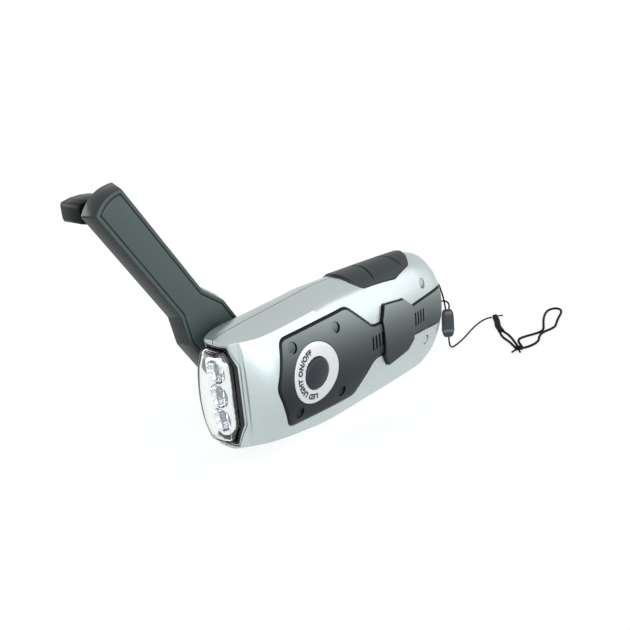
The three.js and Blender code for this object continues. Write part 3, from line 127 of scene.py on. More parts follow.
def modify(obj, kind, **settings):
    pick(obj)
    modifier = obj.modifiers.new(kind.lower(), kind)
    for name, value in settings.items():
        setattr(modifier, name, value)
    bpy.ops.object.modifier_apply(modifier=modifier.name)


def bevel(obj, width, segments=2, angle=35):
    modify(obj, "BEVEL", width=mm(width), segments=segments, limit_method="ANGLE",
           angle_limit=radians(angle), use_clamp_overlap=True)


def smooth(obj, angle=SMOOTH_ANGLE):
    pick(obj)
    bpy.ops.object.shade_smooth_by_angle(angle=radians(angle))


def join_cut(obj, other, operation):
    modify(obj, "BOOLEAN", object=other, operation=operation, solver="EXACT")
    bpy.data.objects.remove(other, do_unlink=True)


def cut(obj, *others):
    for other in others:
        join_cut(obj, other, "DIFFERENCE")


def fuse(obj, *others):
    for other in others:
        join_cut(obj, other, "UNION")


def trim_plane(obj, place, direction):
    """Cuts away what lies on the side that direction points to, and closes the cut."""
    start_edit(obj)
    bpy.ops.mesh.bisect(plane_co=mm_point(*place), plane_no=direction, use_fill=True, clear_outer=True)
    end_edit()


AXIS_POINTS = {
    "X": lambda spot, level: (level, spot[0], spot[1]),
    "Y": lambda spot, level: (spot[0], level, spot[1]),
    "Z": lambda spot, level: (spot[0], spot[1], level),
}


def plate(name, outline, low, high, axis="Y"):
    """A flat plate with that outline, drawn square to the axis."""
    to_point = AXIS_POINTS[axis]
    bpy.ops.mesh.primitive_circle_add(vertices=len(outline), radius=mm(1), fill_type="NGON")
    obj = bpy.context.object
    obj.name = name
    for vertex, spot in zip(obj.data.vertices, outline):
        vertex.co = mm_point(*to_point(spot, low))
    obj.location = (0, 0, 0)
    start_edit(obj)
    lift = mm_point(*to_point((0, 0), high - low))
    bpy.ops.mesh.extrude_region_move(TRANSFORM_OT_translate={"value": lift})
    bpy.ops.mesh.select_all(action="SELECT")
    bpy.ops.mesh.normals_make_consistent(inside=False)
    end_edit()
    return obj


def turned(name, profile, axis, centre, steps=48):
    """A round piece: the profile holds radius and level, from axis to axis."""
    to_point = AXIS_POINTS[axis]
    across = {"X": (0, 1), "Y": (1, 0), "Z": (1, 0)}[axis]
    middle = [centre[i] if "XYZ"[i] != axis else 0 for i in range(3)]
    points = []
    for radius, level in profile:
        spot = to_point((across[0] * radius, across[1] * radius), level)
        points.append(mm_point(*spot) + mm_point(*middle))
    mesh = bpy.data.meshes.new(name)
    mesh.from_pydata(points, [(i, i + 1) for i in range(len(points) - 1)], [])
    obj = bpy.data.objects.new(name, mesh)
    bpy.context.collection.objects.link(obj)
    start_edit(obj)
    way = {"X": (1, 0, 0), "Y": (0, 1, 0), "Z": (0, 0, 1)}[axis]
    bpy.ops.mesh.spin(steps=steps, angle=2 * pi, center=mm_point(*middle), axis=way)
    end_edit()
    heal(obj)
    return obj


def rod(name, radius, low, high, axis, centre, steps=32):
    return turned(name, [(0, low), (radius, low), (radius, high), (0, high)], axis, centre, steps)


def skin(name, rings):
    """A closed skin through rings of points that all have the same count."""
    across, along = len(rings[0]), len(rings)
    bpy.ops.mesh.primitive_grid_add(x_subdivisions=along - 1, y_subdivisions=across, size=1)
    obj = bpy.context.object
    obj.name = name
    obj.location = (0, 0, 0)
    for vertex in obj.data.vertices:
        ring = round((vertex.co.x + 0.5) * (along - 1))
        side = round((vertex.co.y + 0.5) * across) % across
        vertex.co = mm_point(*rings[ring][side])
    start_edit(obj)
    bpy.ops.mesh.remove_doubles(threshold=mm(MERGE))
    bpy.ops.mesh.select_all(action="DESELECT")
    bpy.ops.mesh.select_non_manifold()
    bpy.ops.mesh.fill_holes(sides=0)
    bpy.ops.mesh.select_all(action="SELECT")
    bpy.ops.mesh.normals_make_consistent(inside=False)
    end_edit()
    return obj


# Outlines
def offset_outline(points, amount):
    result = []
    for i, point in enumerate(points):
        before, after = points[i - 1], points[(i + 1) % len(points)]
        first, second = edge_normal(before, point), edge_normal(point, after)
        reach = amount / (1 + first.dot(second))
        moved = Vector(point) + (first + second) * reach
        result.append((moved.x, moved.y))
    return result


def edge_normal(start, end):
    return Vector((end[1] - start[1], start[0] - end[0])).normalized()


def rounded(points, radius, steps=5):
    """Each corner becomes a short curve that starts one radius from it."""
    result = []
    for i, point in enumerate(points):
        corner = Vector(point)
        before, after = Vector(points[i - 1]), Vector(points[(i + 1) % len(points)])
        start = corner.lerp(before, min(radius / (before - corner).length, 0.45))
        end = corner.lerp(after, min(radius / (after - corner).length, 0.45))
        for step in range(steps + 1):
            share = step / steps
            spot = start.lerp(corner, share).lerp(corner.lerp(end, share), share)
            result.append((spot.x, spot.y))
    return result


def mirrored(upper):
    lower = [(along, -up) for along, up in reversed(upper) if up > 0]
    return list(upper) + lower


def lifted(outline):
    return [(along, MIDDLE + up) for along, up in outline]


# Body sections from the rear end to the front rim: place along the reach, button side and
# crank side, top and bottom, crease beside the narrow facets, top drop and bottom drop
SECTION_SHARES = (
    (-1.000, 0.478, 0.478, 0.446, 0.464, 0.311, 0.179, 0.140),
    (-0.988, 0.589, 0.600, 0.589, 0.607, 0.400, 0.200, 0.140),
    (-0.955, 0.678, 0.711, 0.707, 0.743, 0.467, 0.207, 0.125),
    (-0.894, 0.739, 0.811, 0.836, 0.868, 0.500, 0.221, 0.110),
    (-0.818, 0.775, 0.867, 0.907, 0.946, 0.511, 0.225, 0.098),
    (-0.697, 0.806, 0.900, 0.961, 1.009, 0.544, 0.221, 0.085),
    (-0.515, 0.867, 0.933, 0.975, 1.009, 0.583, 0.214, 0.079),
    (-0.273, 0.933, 0.967, 0.986, 1.009, 0.617, 0.186, 0.075),
    (0.000, 0.978, 0.989, 0.996, 1.009, 0.639, 0.168, 0.071),
    (0.182, 0.994, 1.000, 0.993, 1.009, 0.661, 0.154, 0.071),
    (0.333, 1.000, 1.000, 0.961, 1.003, 0.672, 0.143, 0.071),
    (0.485, 0.994, 0.994, 0.929, 0.961, 0.683, 0.132, 0.071),
    (0.636, 0.989, 0.989, 0.896, 0.914, 0.683, 0.121, 0.068),
    (0.727, 0.950, 0.950, 0.879, 0.879, 0.683, 0.111, 0.068),
    (0.803, 0.844, 0.844, 0.861, 0.846, 0.656, 0.100, 0.064),
    (0.864, 0.694, 0.694, 0.846, 0.821, 0.589, 0.086, 0.061),
    (0.917, 0.558, 0.558, 0.829, 0.804, 0.489, 0.071, 0.054),
    (1.000, 0.370, 0.370, 0.775, 0.765, 0.360, 0.050, 0.043),
)
BOTTOM_POWER = 4
FLARE_START = 51
FLARE_STEP = 0.7
BODY_STEP = 1.6
# Sections near the rear end: the first step, and how fast the steps grow away from the end
REAR_STEP = 0.25
REAR_GROWTH = 0.16
# Divisions of a narrow facet and of a broad side
BODY_FINE = (7, 26)
CREASE_GROW_SHARE = 0.6


def slopes(column):
    """Slopes of a smooth curve through the table that never overshoots it."""
    places = [row[0] for row in SECTION_SHARES]
    values = [row[column] for row in SECTION_SHARES]
    steps = [(values[i + 1] - values[i]) / (places[i + 1] - places[i]) for i in range(len(values) - 1)]
    inner = []
    for before, after in zip(steps, steps[1:]):
        inner.append(0 if before * after <= 0 else 2 * before * after / (before + after))
    return [steps[0]] + inner + [steps[-1]]


SLOPES = [slopes(column) for column in range(1, len(SECTION_SHARES[0]))]


def section(place, grow=0):
    share = min(1, max(-1, place / BODY_REACH))
    above = next((i for i, row in enumerate(SECTION_SHARES) if row[0] >= share and i), 1)
    low, high = SECTION_SHARES[above - 1], SECTION_SHARES[above]
    width = high[0] - low[0]
    t = (share - low[0]) / width
    values = []
    for column, slope in enumerate(SLOPES, 1):
        start = low[column] * (1 + 2 * t) * (1 - t) ** 2 + high[column] * t * t * (3 - 2 * t)
        bend = slope[above - 1] * t * (1 - t) ** 2 - slope[above] * t * t * (1 - t)
        values.append(start + bend * width)
    button, crank, top, bottom, crease, top_drop, bottom_drop = values
    return {
        "button": button * HALF_THICKNESS + grow,
        "crank": crank * HALF_THICKNESS + grow,
        "top": top * HALF_HEIGHT + grow,
        "bottom": bottom * HALF_HEIGHT + grow,
        "crease": crease * HALF_THICKNESS + grow * CREASE_GROW_SHARE,
        "high": (top - top_drop) * HALF_HEIGHT + grow,
        "low": (bottom - bottom_drop) * HALF_HEIGHT + grow,
    }


def face_out(place, height, grow=0):
    """How far out the broad button side is there; height is from mid height."""
    here = section(place, grow)
    reach = here["high"] if height > 0 else here["low"]
    return here["button"] - (here["button"] - here["crease"]) * (height / reach) ** 2


def top_height(place, out, grow=0):
    """How high the top narrow side is there, from mid height."""
    here = section(place, grow)
    half = here["button"] if out > 0 else here["crank"]
    if abs(out) <= here["crease"]:
        return here["top"] - (here["top"] - here["high"]) * (out / here["crease"]) ** 2
    return here["high"] * sqrt(max(0, (half - abs(out)) / (half - here["crease"])))


def side_outline(here, half, fine):
    points = []
    facet, broad = fine
    for i in range(facet):
        share = i / facet
        points.append((here["crease"] * share, here["top"] - (here["top"] - here["high"]) * share ** 2))
    for i in range(broad + 1):
        height = here["high"] - (here["high"] + here["low"]) * i / broad
        bow = (height / (here["high"] if height > 0 else here["low"])) ** 2
        points.append((half - (half - here["crease"]) * bow, height))
    for i in range(facet - 1, -1, -1):
        share = i / facet
        drop = (here["bottom"] - here["low"]) * share ** BOTTOM_POWER
        points.append((here["crease"] * share, drop - here["bottom"]))
    return points


def body_ring(place, grow=0, fine=BODY_FINE):
    here = section(place, grow)
    near = side_outline(here, here["button"], fine)
    far = side_outline(here, here["crank"], fine)[1:-1]
    outline = near + [(-out, height) for out, height in reversed(far)]
    return [(place, out, MIDDLE + height) for out, height in outline]


def body_places(start, end, step):
    """Places along the body, closer together near its rounded rear end and its flared front."""
    places = [start]
    while places[-1] < end - step / 2:
        near_rear = places[-1] - REAR_END
        widest = FLARE_STEP if places[-1] > FLARE_START else step
        places.append(min(end, places[-1] + min(widest, REAR_STEP + near_rear * REAR_GROWTH)))
    places[-1] = end
    return places


def body(name, grow=0, start=REAR_END, end=BODY_REACH, step=BODY_STEP, fine=BODY_FINE):
    return skin(name, [body_ring(place, grow, fine) for place in body_places(start, end, step)])


def slice_grid(obj, step, axes=(0, 2)):
    """Cuts a flat piece along a grid, so that it can follow a curved side."""
    low, high = bounds_of(obj)
    start_edit(obj)
    for axis in axes:
        count = int((high[axis] - low[axis]) / step)
        for i in range(1, count + 1):
            place = [0, 0, 0]
            place[axis] = low[axis] + i * step
            way = [0, 0, 0]
            way[axis] = 1
            bpy.ops.mesh.select_all(action="SELECT")
            bpy.ops.mesh.bisect(plane_co=mm_point(*place), plane_no=way)
    end_edit()


def bounds_of(obj):
    spots = [vertex.co * METRE for vertex in obj.data.vertices]
    return ([min(s[i] for s in spots) for i in range(3)], [max(s[i] for s in spots) for i in range(3)])


def wrap_side(obj):
    """Lays a flat piece on the broad button side: its level becomes a height over that side."""
    for vertex in obj.data.vertices:
        place, height = vertex.co.x * METRE, vertex.co.z * METRE - MIDDLE
        vertex.co.y += mm(face_out(place, height))


def wrap_top(obj):
    for vertex in obj.data.vertices:
        vertex.co.z += mm(MIDDLE + top_height(vertex.co.x * METRE, vertex.co.y * METRE))


# Materials: one function turns an sRGB hex value to linear, one adds a node
# Noise mostly stays within this range of its nought to one
NOISE_RANGE = (0.3, 0.7)
NOISE_DETAIL = 3
EDGE_SAMPLES = 6
# The inlay's painted shade, lighter high up and towards the rear, darker low down and towards the front: how
# its level slants along the torch, where it starts and ends, and its curve
PAINTED_SHADE_SLANT = 0.12
PAINTED_SHADE_LEVELS = (8, 50)
PAINTED_SHADE_POWER = 3
BRAID_PITCH = 1.6
BRAID_TURNS = 2
BRAID_DEPTH = 0.12


def colour(value):
    channels = [int(value[i:i + 2], 16) / 255 for i in (1, 3, 5)]
    linear = [c / 12.92 if c <= 0.04045 else ((c + 0.055) / 1.055) ** 2.4 for c in channels]
    return (*linear, 1)


def feed(tree, node, inputs):
    """Gives each of these inputs another node's socket or a fixed value."""
    for name, value in inputs.items():
        if isinstance(value, bpy.types.NodeSocket):
            tree.links.new(value, node.inputs[name])
        else:
            node.inputs[name].default_value = value


def add_node(tree, kind, inputs=None, **settings):
    """A node with its settings, the sockets that feed it and its fixed values."""
    node = tree.nodes.new(kind)
    for name, value in settings.items():
        setattr(node, name, value)
    feed(tree, node, inputs or {})
    return node


def new_material(name, base, roughness, metallic=0, **extra):
    """A Principled material with values set on its own sockets."""
    material = bpy.data.materials.new(name)
    material.use_nodes = True
    material.diffuse_color = colour(base)
    tree = material.node_tree
    shader = tree.nodes["Principled BSDF"]
    feed(tree, shader, {"Base Color": colour(base), "Roughness": roughness, "Metallic": metallic})
    feed(tree, shader, {socket.replace("_", " "): value for socket, value in extra.items()})
    return material, tree, shader


def object_pattern(tree, size):
    """Noise on object coordinates, with grains of that size in millimetres."""
    where = add_node(tree, "ShaderNodeTexCoord")
    inputs = {"Vector": where.outputs["Object"], "Scale": METRE / size, "Detail": NOISE_DETAIL}
    return add_node(tree, "ShaderNodeTexNoise", inputs, noise_dimensions="3D").outputs["Fac"]


def vary(tree, shader, socket, source, low, high):
    spread = add_node(tree, "ShaderNodeMapRange", {"Value": source, "From Min": NOISE_RANGE[0],
                                                   "From Max": NOISE_RANGE[1], "To Min": low, "To Max": high})
    feed(tree, shader, {socket: spread.outputs["Result"]})


def vary_colour(tree, shader, source, dark, light):
    # Sockets 6 and 7 of the mix are its two colours, and output 2 its colour
    mix = add_node(tree, "ShaderNodeMix", {"Factor": source, 6: colour(dark), 7: colour(light)},
                   data_type="RGBA")
    feed(tree, shader, {"Base Color": mix.outputs[2]})


def add_relief(tree, shader, height, depth, soften=0, strength=1):
    """Relief of that depth; soften rounds the edges by that many millimetres."""
    bump = add_node(tree, "ShaderNodeBump", {"Height": height, "Strength": strength, "Distance": mm(depth)})
    if soften:
        edge = add_node(tree, "ShaderNodeBevel", {"Radius": mm(soften)}, samples=EDGE_SAMPLES)
        feed(tree, bump, {"Normal": edge.outputs["Normal"]})
    feed(tree, shader, {"Normal": bump.outputs["Normal"]})


def grained(name, base, dark, light, roughness, grain=0.5, depth=0.01, soften=0.3, gloss=None,
            swing=(0.85, 1.2), **extra):
    """A skin whose gloss and shade vary with its grain; grain, depth and soften are millimetres."""
    material, tree, shader = new_material(name, base, roughness, **extra)
    texture = object_pattern(tree, grain)
    add_relief(tree, shader, texture, depth, soften)
    vary(tree, shader, "Roughness", texture, *(gloss or (roughness * share for share in swing)))
    vary_colour(tree, shader, texture, dark, light)
    return material


def inlay_paint():
    """Polycarbonate inlay, sprayed charcoal, with painted shade: lighter towards its top and rear, darker
    towards its lower edge and front.
    """
    material, tree, shader = new_material("charcoal_lacquer_on_polycarbonate", "#3C4748", 0.42, 0.15,
                                          Specular_IOR_Level=0.2)
    flakes = object_pattern(tree, 0.3)
    add_relief(tree, shader, flakes, 0.005, 0.2)
    vary(tree, shader, "Roughness", flakes, 0.38, 0.48)
    where = add_node(tree, "ShaderNodeTexCoord")
    apart = add_node(tree, "ShaderNodeSeparateXYZ", {"Vector": where.outputs["Object"]})
    slant = add_node(tree, "ShaderNodeMath", {0: apart.outputs["X"], 1: PAINTED_SHADE_SLANT}, operation="MULTIPLY")
    level = add_node(tree, "ShaderNodeMath", {0: apart.outputs["Z"], 1: slant.outputs["Value"]},
                     operation="SUBTRACT")
    painted_shade = add_node(tree, "ShaderNodeMapRange", {
        "Value": level.outputs["Value"], "From Min": mm(PAINTED_SHADE_LEVELS[0]), "From Max": mm(PAINTED_SHADE_LEVELS[1]),
        "To Min": 0, "To Max": 1})
    curve = add_node(tree, "ShaderNodeMath", {0: painted_shade.outputs["Result"], 1: PAINTED_SHADE_POWER}, operation="POWER")
    # Painted shade: the charcoal runs from near black low down to a pale grey-green high up
    vary_colour(tree, shader, curve.outputs["Value"], "#1A2324", "#A3AFAE")
    return material


def clear_plastic():
    """Clear polycarbonate, injection moulded: glassy, with a faint waviness from the mould."""
    material, tree, shader = new_material("polycarbonate_lens_clear", "#FBFDFC", 0.03, IOR=1.49,
                                          Transmission_Weight=1)
    add_relief(tree, shader, object_pattern(tree, 9), 0.08, strength=0.3)
    return material


def diode_epoxy():
    """Water-clear epoxy of a diode, cast round its cup: it reads bright and slightly milky."""
    material, tree, shader = new_material("diode_epoxy_cast", "#E4EAF2", 0.08, IOR=1.5,
                                          Transmission_Weight=0.4)
    vary(tree, shader, "Roughness", object_pattern(tree, 1.5), 0.05, 0.14)
    return material


def chrome_film():
    """Vacuum-metallised ABS: a mirror film over a rippled moulding, which breaks up what it mirrors."""
    material, tree, shader = new_material("aluminium_film_metallised_on_abs", "#F7F8FA", 0.08, 1)
    ripple = object_pattern(tree, 2)
    add_relief(tree, shader, ripple, 0.11)
    vary(tree, shader, "Roughness", ripple, 0.05, 0.12)
    return material


def braid():
    """Braided polyester cord: crossing strands in a diamond pattern along the cord's own UV map."""
    material, tree, shader = new_material("polyester_cord_braided", "#0D1110", 0.8, Specular_IOR_Level=0.15)
    where = add_node(tree, "ShaderNodeUVMap", uv_map="braid")
    waves = []
    for lean in (1, -1):
        turned_map = add_node(tree, "ShaderNodeMapping", {
            "Vector": where.outputs["UV"], "Scale": (lean * BRAID_TURNS, 1 / mm(BRAID_PITCH), 1)})
        apart = add_node(tree, "ShaderNodeSeparateXYZ", {"Vector": turned_map.outputs["Vector"]})
        both = add_node(tree, "ShaderNodeMath", {0: apart.outputs["X"], 1: apart.outputs["Y"]},
                        operation="ADD")
        swell = add_node(tree, "ShaderNodeMath", {0: both.outputs["Value"], 1: 0.5}, operation="PINGPONG")
        waves.append(swell.outputs["Value"])
    cross = add_node(tree, "ShaderNodeMath", {0: waves[0], 1: waves[1]}, operation="MAXIMUM")
    add_relief(tree, shader, cross.outputs["Value"], BRAID_DEPTH)
    # The braid is drawn darker in the hollows between strands and lighter on their crests: painted shade
    vary_colour(tree, shader, cross.outputs["Value"], "#070908", "#191E1D")
    return material


# What the metals and the rubbers share
METAL = {"swing": (0.7, 1.4), "grain": 0.4, "depth": 0.003, "soften": 0.1, "metallic": 1}
RUBBER = {"gloss": (0.36, 0.5), "grain": 0.35, "Specular_IOR_Level": 0.3}
MATERIALS = {
    # Silver flake paint under a satin clear coat: soft and bright. Real flakes are 0.03 mm; they
    # are drawn at 0.25 mm so that they just show
    "silver": grained("silver_paint_sprayed_on_abs", "#B7C1C2", "#B1BBBC", "#BEC8C9", 0.28, 0.25, 0.0015,
                      0.25, (0.26, 0.38), metallic=0.66, Coat_Weight=0.15, Coat_Roughness=0.2),
    "inlay": inlay_paint(),
    # ABS from a lightly textured tool: an even dark grey skin whose gloss varies a little
    "arm": grained("charcoal_abs_moulded", "#485453", "#434F4E", "#4F5B5A", 0.38, Specular_IOR_Level=0.22),
    # The same plastic, glossier, with slow ripples in its sheen; its darker colour is painted shade for the
    # arm's sides, line and back
    "arm_painted_shade": grained("charcoal_abs_glossy_painted_shade", "#232D2D", "#1F2928", "#283232", 0.26, grain=1.2,
                        depth=0.005, soften=0.4, Specular_IOR_Level=0.35),
    # Polished black: almost no texture, and quiet highlights
    "knob": grained("black_abs_polished", "#0C1413", "#0A1110", "#111918", 0.34, grain=1.2, depth=0.005,
                    soften=0.35, Specular_IOR_Level=0.08),
    # Thermoplastic rubber and silicone: dull satin skins with a fine eroded texture
    "pad": grained("grip_rubber_moulded", "#273131", "#212A2A", "#2F3939", 0.42, **RUBBER),
    "button": grained("button_silicone_moulded", "#1F242B", "#1B2027", "#252A32", 0.42, **RUBBER),
    # Seal rubber: a near black band with barely softened edges
    "seal": grained("seal_rubber_moulded", "#1A1E1F", "#151819", "#212526", 0.42, soften=0.15, **RUBBER),
    "clear": clear_plastic(),
    "diode": diode_epoxy(),
    "chrome": chrome_film(),
    # Nylon of the bead and its band: smooth blue-greys, slightly shiny
    "bead": grained("strap_bead_nylon_moulded", "#262D34", "#21272E", "#2C333B", 0.35, depth=0.006),
    "band": grained("band_nylon_moulded", "#5B646D", "#525B64", "#656E77", 0.4, depth=0.006, soften=0.2),
    "cord": braid(),
    # Dry pad-printed ink: flat and almost black
    "ink": grained("pad_print_ink", "#16191A", "#131617", "#1B1F20", 0.5, soften=0.05),
    # Silver print on the ring: paler and flatter than the sprayed case
    "ring": grained("silver_print_on_abs", "#D0D4D5", "#C9CDCE", "#D7DBDC", 0.32, grain=0.3, depth=0.003,
                    soften=0.2, metallic=0.35),
    # Bare black moulding: dull, where no paint reaches
    "black": grained("black_abs_moulded", "#0E1111", "#0B0E0E", "#131717", 0.5, Specular_IOR_Level=0.2),
    # Acetal: creamy white and waxy
    "natural": grained("acetal_moulded", "#DCD8C8", "#D4D0C0", "#E2DED0", 0.4, soften=0.15),
    # Plated steel, bronze, enamelled copper and a nickel can: bright, with slight streaks in the gloss
    "steel": grained("zinc_plated_steel_drawn", "#A7AAAC", "#9C9FA1", "#B4B7B8", 0.3, **METAL),
    "bronze": grained("bronze_bush_sintered", "#9A7440", "#8A6636", "#A9824C", 0.4, **METAL),
    "copper": grained("enamelled_copper_wire_wound", "#B06A3C", "#9C5A30", "#C27848", 0.35,
                      **{**METAL, "grain": 0.5}),
    "cell": grained("nickel_plated_cell_can_drawn", "#B9BABA", "#ADAEAE", "#C6C7C7", 0.22, **METAL),
    # Ferrite: a dark grey, stone-like block with little gloss
    "magnet": grained("ferrite_sintered", "#4A4B4D", "#434446", "#545557", 0.55, **METAL),
    # Phosphor in silicone: a flat yellow face inside each diode
    "phosphor": grained("phosphor_silicone_cast", "#D9C86A", "#CDBB58", "#E4D580", 0.5, soften=0.05),
    # Solder mask on glass epoxy: an even green sheet with a slight sheen
    "board": grained("solder_mask_on_glass_epoxy", "#2D5A3A", "#275134", "#336342", 0.35, soften=0.1),
}


def dress(obj, look):
    obj.data.materials.clear()
    obj.data.materials.append(MATERIALS[look])


def blacken(obj, faces, look="black"):
    """Gives these faces a second look, black unless another is named: bare moulding in the case's joint and
    on the reflector's flange, painted shade on the inlay's and the clasp's walls and on the arm's sides and
    groove.
    """
    obj.data.materials.append(MATERIALS[look])
    for index in faces:
        obj.data.polygons[index].material_index = 1


def finish_piece(obj, look, body_name, slot, *nodes, angle=SMOOTH_ANGLE):
    """Gives a piece its finish and its body, and hides the nodes that it stands for."""
    if angle:
        smooth(obj, angle)
    settle(obj)
    dress(obj, look)
    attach(obj, body_name)
    if nodes:
        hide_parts(*nodes)


# Wrist strap. The routes are places in the frame, as on the solids
STRING_RADIUS = 0.4
LOOP_RADIUS = 0.6
STRING_LEVEL = 0.42
LOOP_LEVEL = 0.62


def on_floor(level, *spots):
    return [(x, y, level) for x, y in spots]


STRAP_ROUTES = {
    "strap_eyelet_string_1": [
        (-61.8, 6, 36), (-66, 6, 36), (-67.6, 6.1, 35.7), (-69.2, 6.6, 34.2), (-70.3, 7, 31),
        (-70.8, 7.7, 28), (-71, 8.2, 25), (-70.8, 8.9, 21.8),
    ],
    "strap_eyelet_string_2": [
        (-61.8, 6, 25.8), (-66, 6, 25.8), (-67.6, 6.9, 25.9), (-68.8, 8.3, 26.3), (-70.2, 9.8, 26),
        (-71.3, 10.5, 24.4), (-72, 10.1, 21.8),
    ],
    "strap_string": [
        (-71.6, 9.6, 7.2), (-71.8, 9.6, 5), (-72.6, 9.5, 2.4), (-74.6, 9.3, 0.8),
    ] + on_floor(
        STRING_LEVEL, (-78, 8.9), (-84, 8), (-92, 6.2), (-100, 4), (-108, 2.3), (-114.5, 1.6),
        (-118.8, 2), (-121.2, 3.2),
    ),
    "strap_lead_1": on_floor(LOOP_LEVEL, (-104.3, 18), (-98.7, 23.4), (-94.3, 29.9), (-89.6, 35.6)),
    "strap_lead_2": on_floor(LOOP_LEVEL, (-105.6, 19.6), (-102.3, 24.7), (-96.9, 30.6), (-91, 36.4)),
    "strap_wrist_loop": on_floor(
        LOOP_LEVEL, (-91.6, 39.4), (-95.3, 40.6), (-100.1, 41), (-104, 40.2), (-107.5, 38.6),
        (-111.5, 37.4), (-115.5, 37.2), (-119.5, 38), (-124, 38.2), (-128.5, 36.8), (-133.5, 34.9),
        (-139.3, 33), (-145, 31), (-148.8, 28.4), (-149.2, 25.6), (-146, 23.9), (-141, 24.4),
        (-134.4, 26.8), (-128.5, 29.6), (-123, 32.6), (-118.5, 34.9), (-114.5, 35.6), (-109.9, 34.4),
        (-105.5, 32.6), (-101.5, 31.6), (-98.6, 32.2), (-96.2, 33.9), (-93.6, 36.4), (-91.9, 37.7),
    ),
}
SLEEVE_ROUTE = on_floor(0.9, (-120.8, 5.7), (-116, 9.6), (-110.3, 13.6), (-105.3, 18.5))
SLEEVE_HALF_WIDTH = 1.6
SLEEVE_HALF_HEIGHT = 0.8
SLEEVE_POWER = 0.8
# How far an end runs into what it is tied to
TIE_REACH = 1.2
SLEEVE_TIE = 0.35
STRING_SPACING = 0.4
CORD_SPACING = 0.5
CORD_ANGLE = 60
CORD_SIDES = 14
SLEEVE_SIDES = 28
# Each knot's place, reach, height, cord radius and where its cut tails end
KNOTS = {
    "strap_top_knot": ((-122.2, 4.6), 1.5, 1.85, 0.42, [(-126.5, 6.8)]),
    "strap_knot": ((-89.4, 38.1), 2.1, 2.15, 0.55, [(-83.7, 37.3), (-85.6, 40.5)]),
}
KNOT_STEPS = 72
KNOT_SIDES = 10
TAIL_SHARE = 0.85
TAIL_LIFT = 0.1
TAIL_BOW = Vector((0.25, -0.25, 0.15))
GROUND_GAP = 0.05
BEAD_PLACE = (-71.4, 9.5)
BEAD_LOW = 7.5
BEAD_LENGTH = 14
BEAD_WIDTH = 6
BEAD_THICKNESS = 3.6
BEAD_TURN = 135
BEAD_POWER = 0.55
BEAD_SIDES = 40
BEAD_ANGLE = 40
# Share of the bead's length and of its width, and for the band how far it stands out
BEAD_SHARES = (
    (0, 0.52), (0.01, 0.62), (0.04, 0.74), (0.09, 0.86), (0.16, 0.93), (0.3, 0.98), (0.5, 1),
    (0.7, 0.98), (0.82, 0.95), (0.9, 0.88), (0.96, 0.74), (0.99, 0.58), (1, 0.4),
)
BAND_SHARES = (
    (0.2, 0.95, 0.02), (0.21, 0.96, 0.16), (0.25, 0.97, 0.2), (0.29, 0.98, 0.16), (0.3, 0.98, 0.02),
)


def smooth_route(points, spacing):
    """One smooth curve through the chosen points, as on the solids."""
    spots = [Vector(point) for point in points]
    spots = [spots[0] * 2 - spots[1], *spots, spots[-1] * 2 - spots[-2]]
    route = []
    for a, b, c, d in zip(spots, spots[1:], spots[2:], spots[3:]):
        first, middle, last = (sqrt((q - p).length) for p, q in ((a, b), (b, c), (c, d)))
        start = ((b - a) / first - (c - a) / (first + middle) + (c - b) / middle) * middle
        end = ((c - b) / middle - (d - b) / (middle + last) + (d - c) / last) * middle
        count = max(2, round((c - b).length / spacing))
        for i in range(count):
            t = i / count
            bend = (c - b) * 3 - start * 2 - end
            turn = (b - c) * 2 + start + end
            route.append(b + start * t + bend * t ** 2 + turn * t ** 3)
    return route + [spots[-2]]


def run_on(route, reach):
    """The route with both ends carried on by that reach, into what they are tied to."""
    first, last = (route[0] - route[1]).normalized(), (route[-1] - route[-2]).normalized()
    return [route[0] + first * reach, *route, route[-1] + last * reach]


def route_length(route):
    return sum((b - a).length for a, b in zip(route, route[1:]))


def headings(route):
    """The direction of the route at each of its spots."""
    ends = [route[0], *route, route[-1]]
    return [(after - before).normalized() for before, after in zip(ends, ends[2:])]


def frames_along(route):
    """For each spot, two directions square to the route that never twist."""
    frames = []
    side = None
    for ahead in headings(route):
        side = side or ahead.orthogonal()
        side = (side - ahead * side.dot(ahead)).normalized()
        frames.append((side, ahead.cross(side)))
    return frames


def flat_frames(route):
    """Directions for a flat sleeve that lies on the ground."""
    up = Vector((0, 0, 1))
    return [(up.cross(ahead), up) for ahead in headings(route)]


def signed_power(value, power):
    return (1 if value >= 0 else -1) * abs(value) ** power


def tube(name, route, across, up=None, sides=CORD_SIDES, frames=None, power=1):
    """A cord or sleeve along its route, with its own map: round in u, metres along in v."""
    up = up or across
    rings = []
    for spot, (side, rise) in zip(route, frames or frames_along(route)):
        ring = []
        for i in range(sides):
            angle = 2 * pi * i / sides
            out = side * (signed_power(cos(angle), power) * across)
            ring.append(spot + out + rise * (signed_power(sin(angle), power) * up))
        rings.append(ring)
    obj = skin(name, rings)
    length = mm(route_length(route))
    layer = obj.data.uv_layers[0]
    layer.name = "braid"
    for loop in layer.data:
        loop.uv = (loop.uv.y, loop.uv.x * length)
    return obj


def knot(name, place, reach, height, radius, tails):
    """A real overhand knot pulled tight, a trefoil three units in reach, with its cut tails."""
    rise = height / 2 - radius
    scale = (reach - radius) / 3
    turns = []
    for i in range(KNOT_STEPS + 1):
        t = 2 * pi * i / KNOT_STEPS
        x = sin(t) + 2 * sin(2 * t)
        y = cos(t) - 2 * cos(2 * t)
        turns.append(Vector((place[0] + x * scale, place[1] + y * scale,
                             GROUND_GAP + height / 2 - rise * sin(3 * t))))
    obj = tube(name, turns, radius, sides=KNOT_SIDES)
    for i, tail in enumerate(tails):
        start, end = (Vector((*spot, GROUND_GAP + radius + TAIL_LIFT)) for spot in (place, tail))
        route = smooth_route((start, start.lerp(end, 0.5) + TAIL_BOW, end), CORD_SPACING)
        together(obj, tube(f"{name}_tail_{i + 1}", route, radius * TAIL_SHARE, sides=KNOT_SIDES))
    return obj


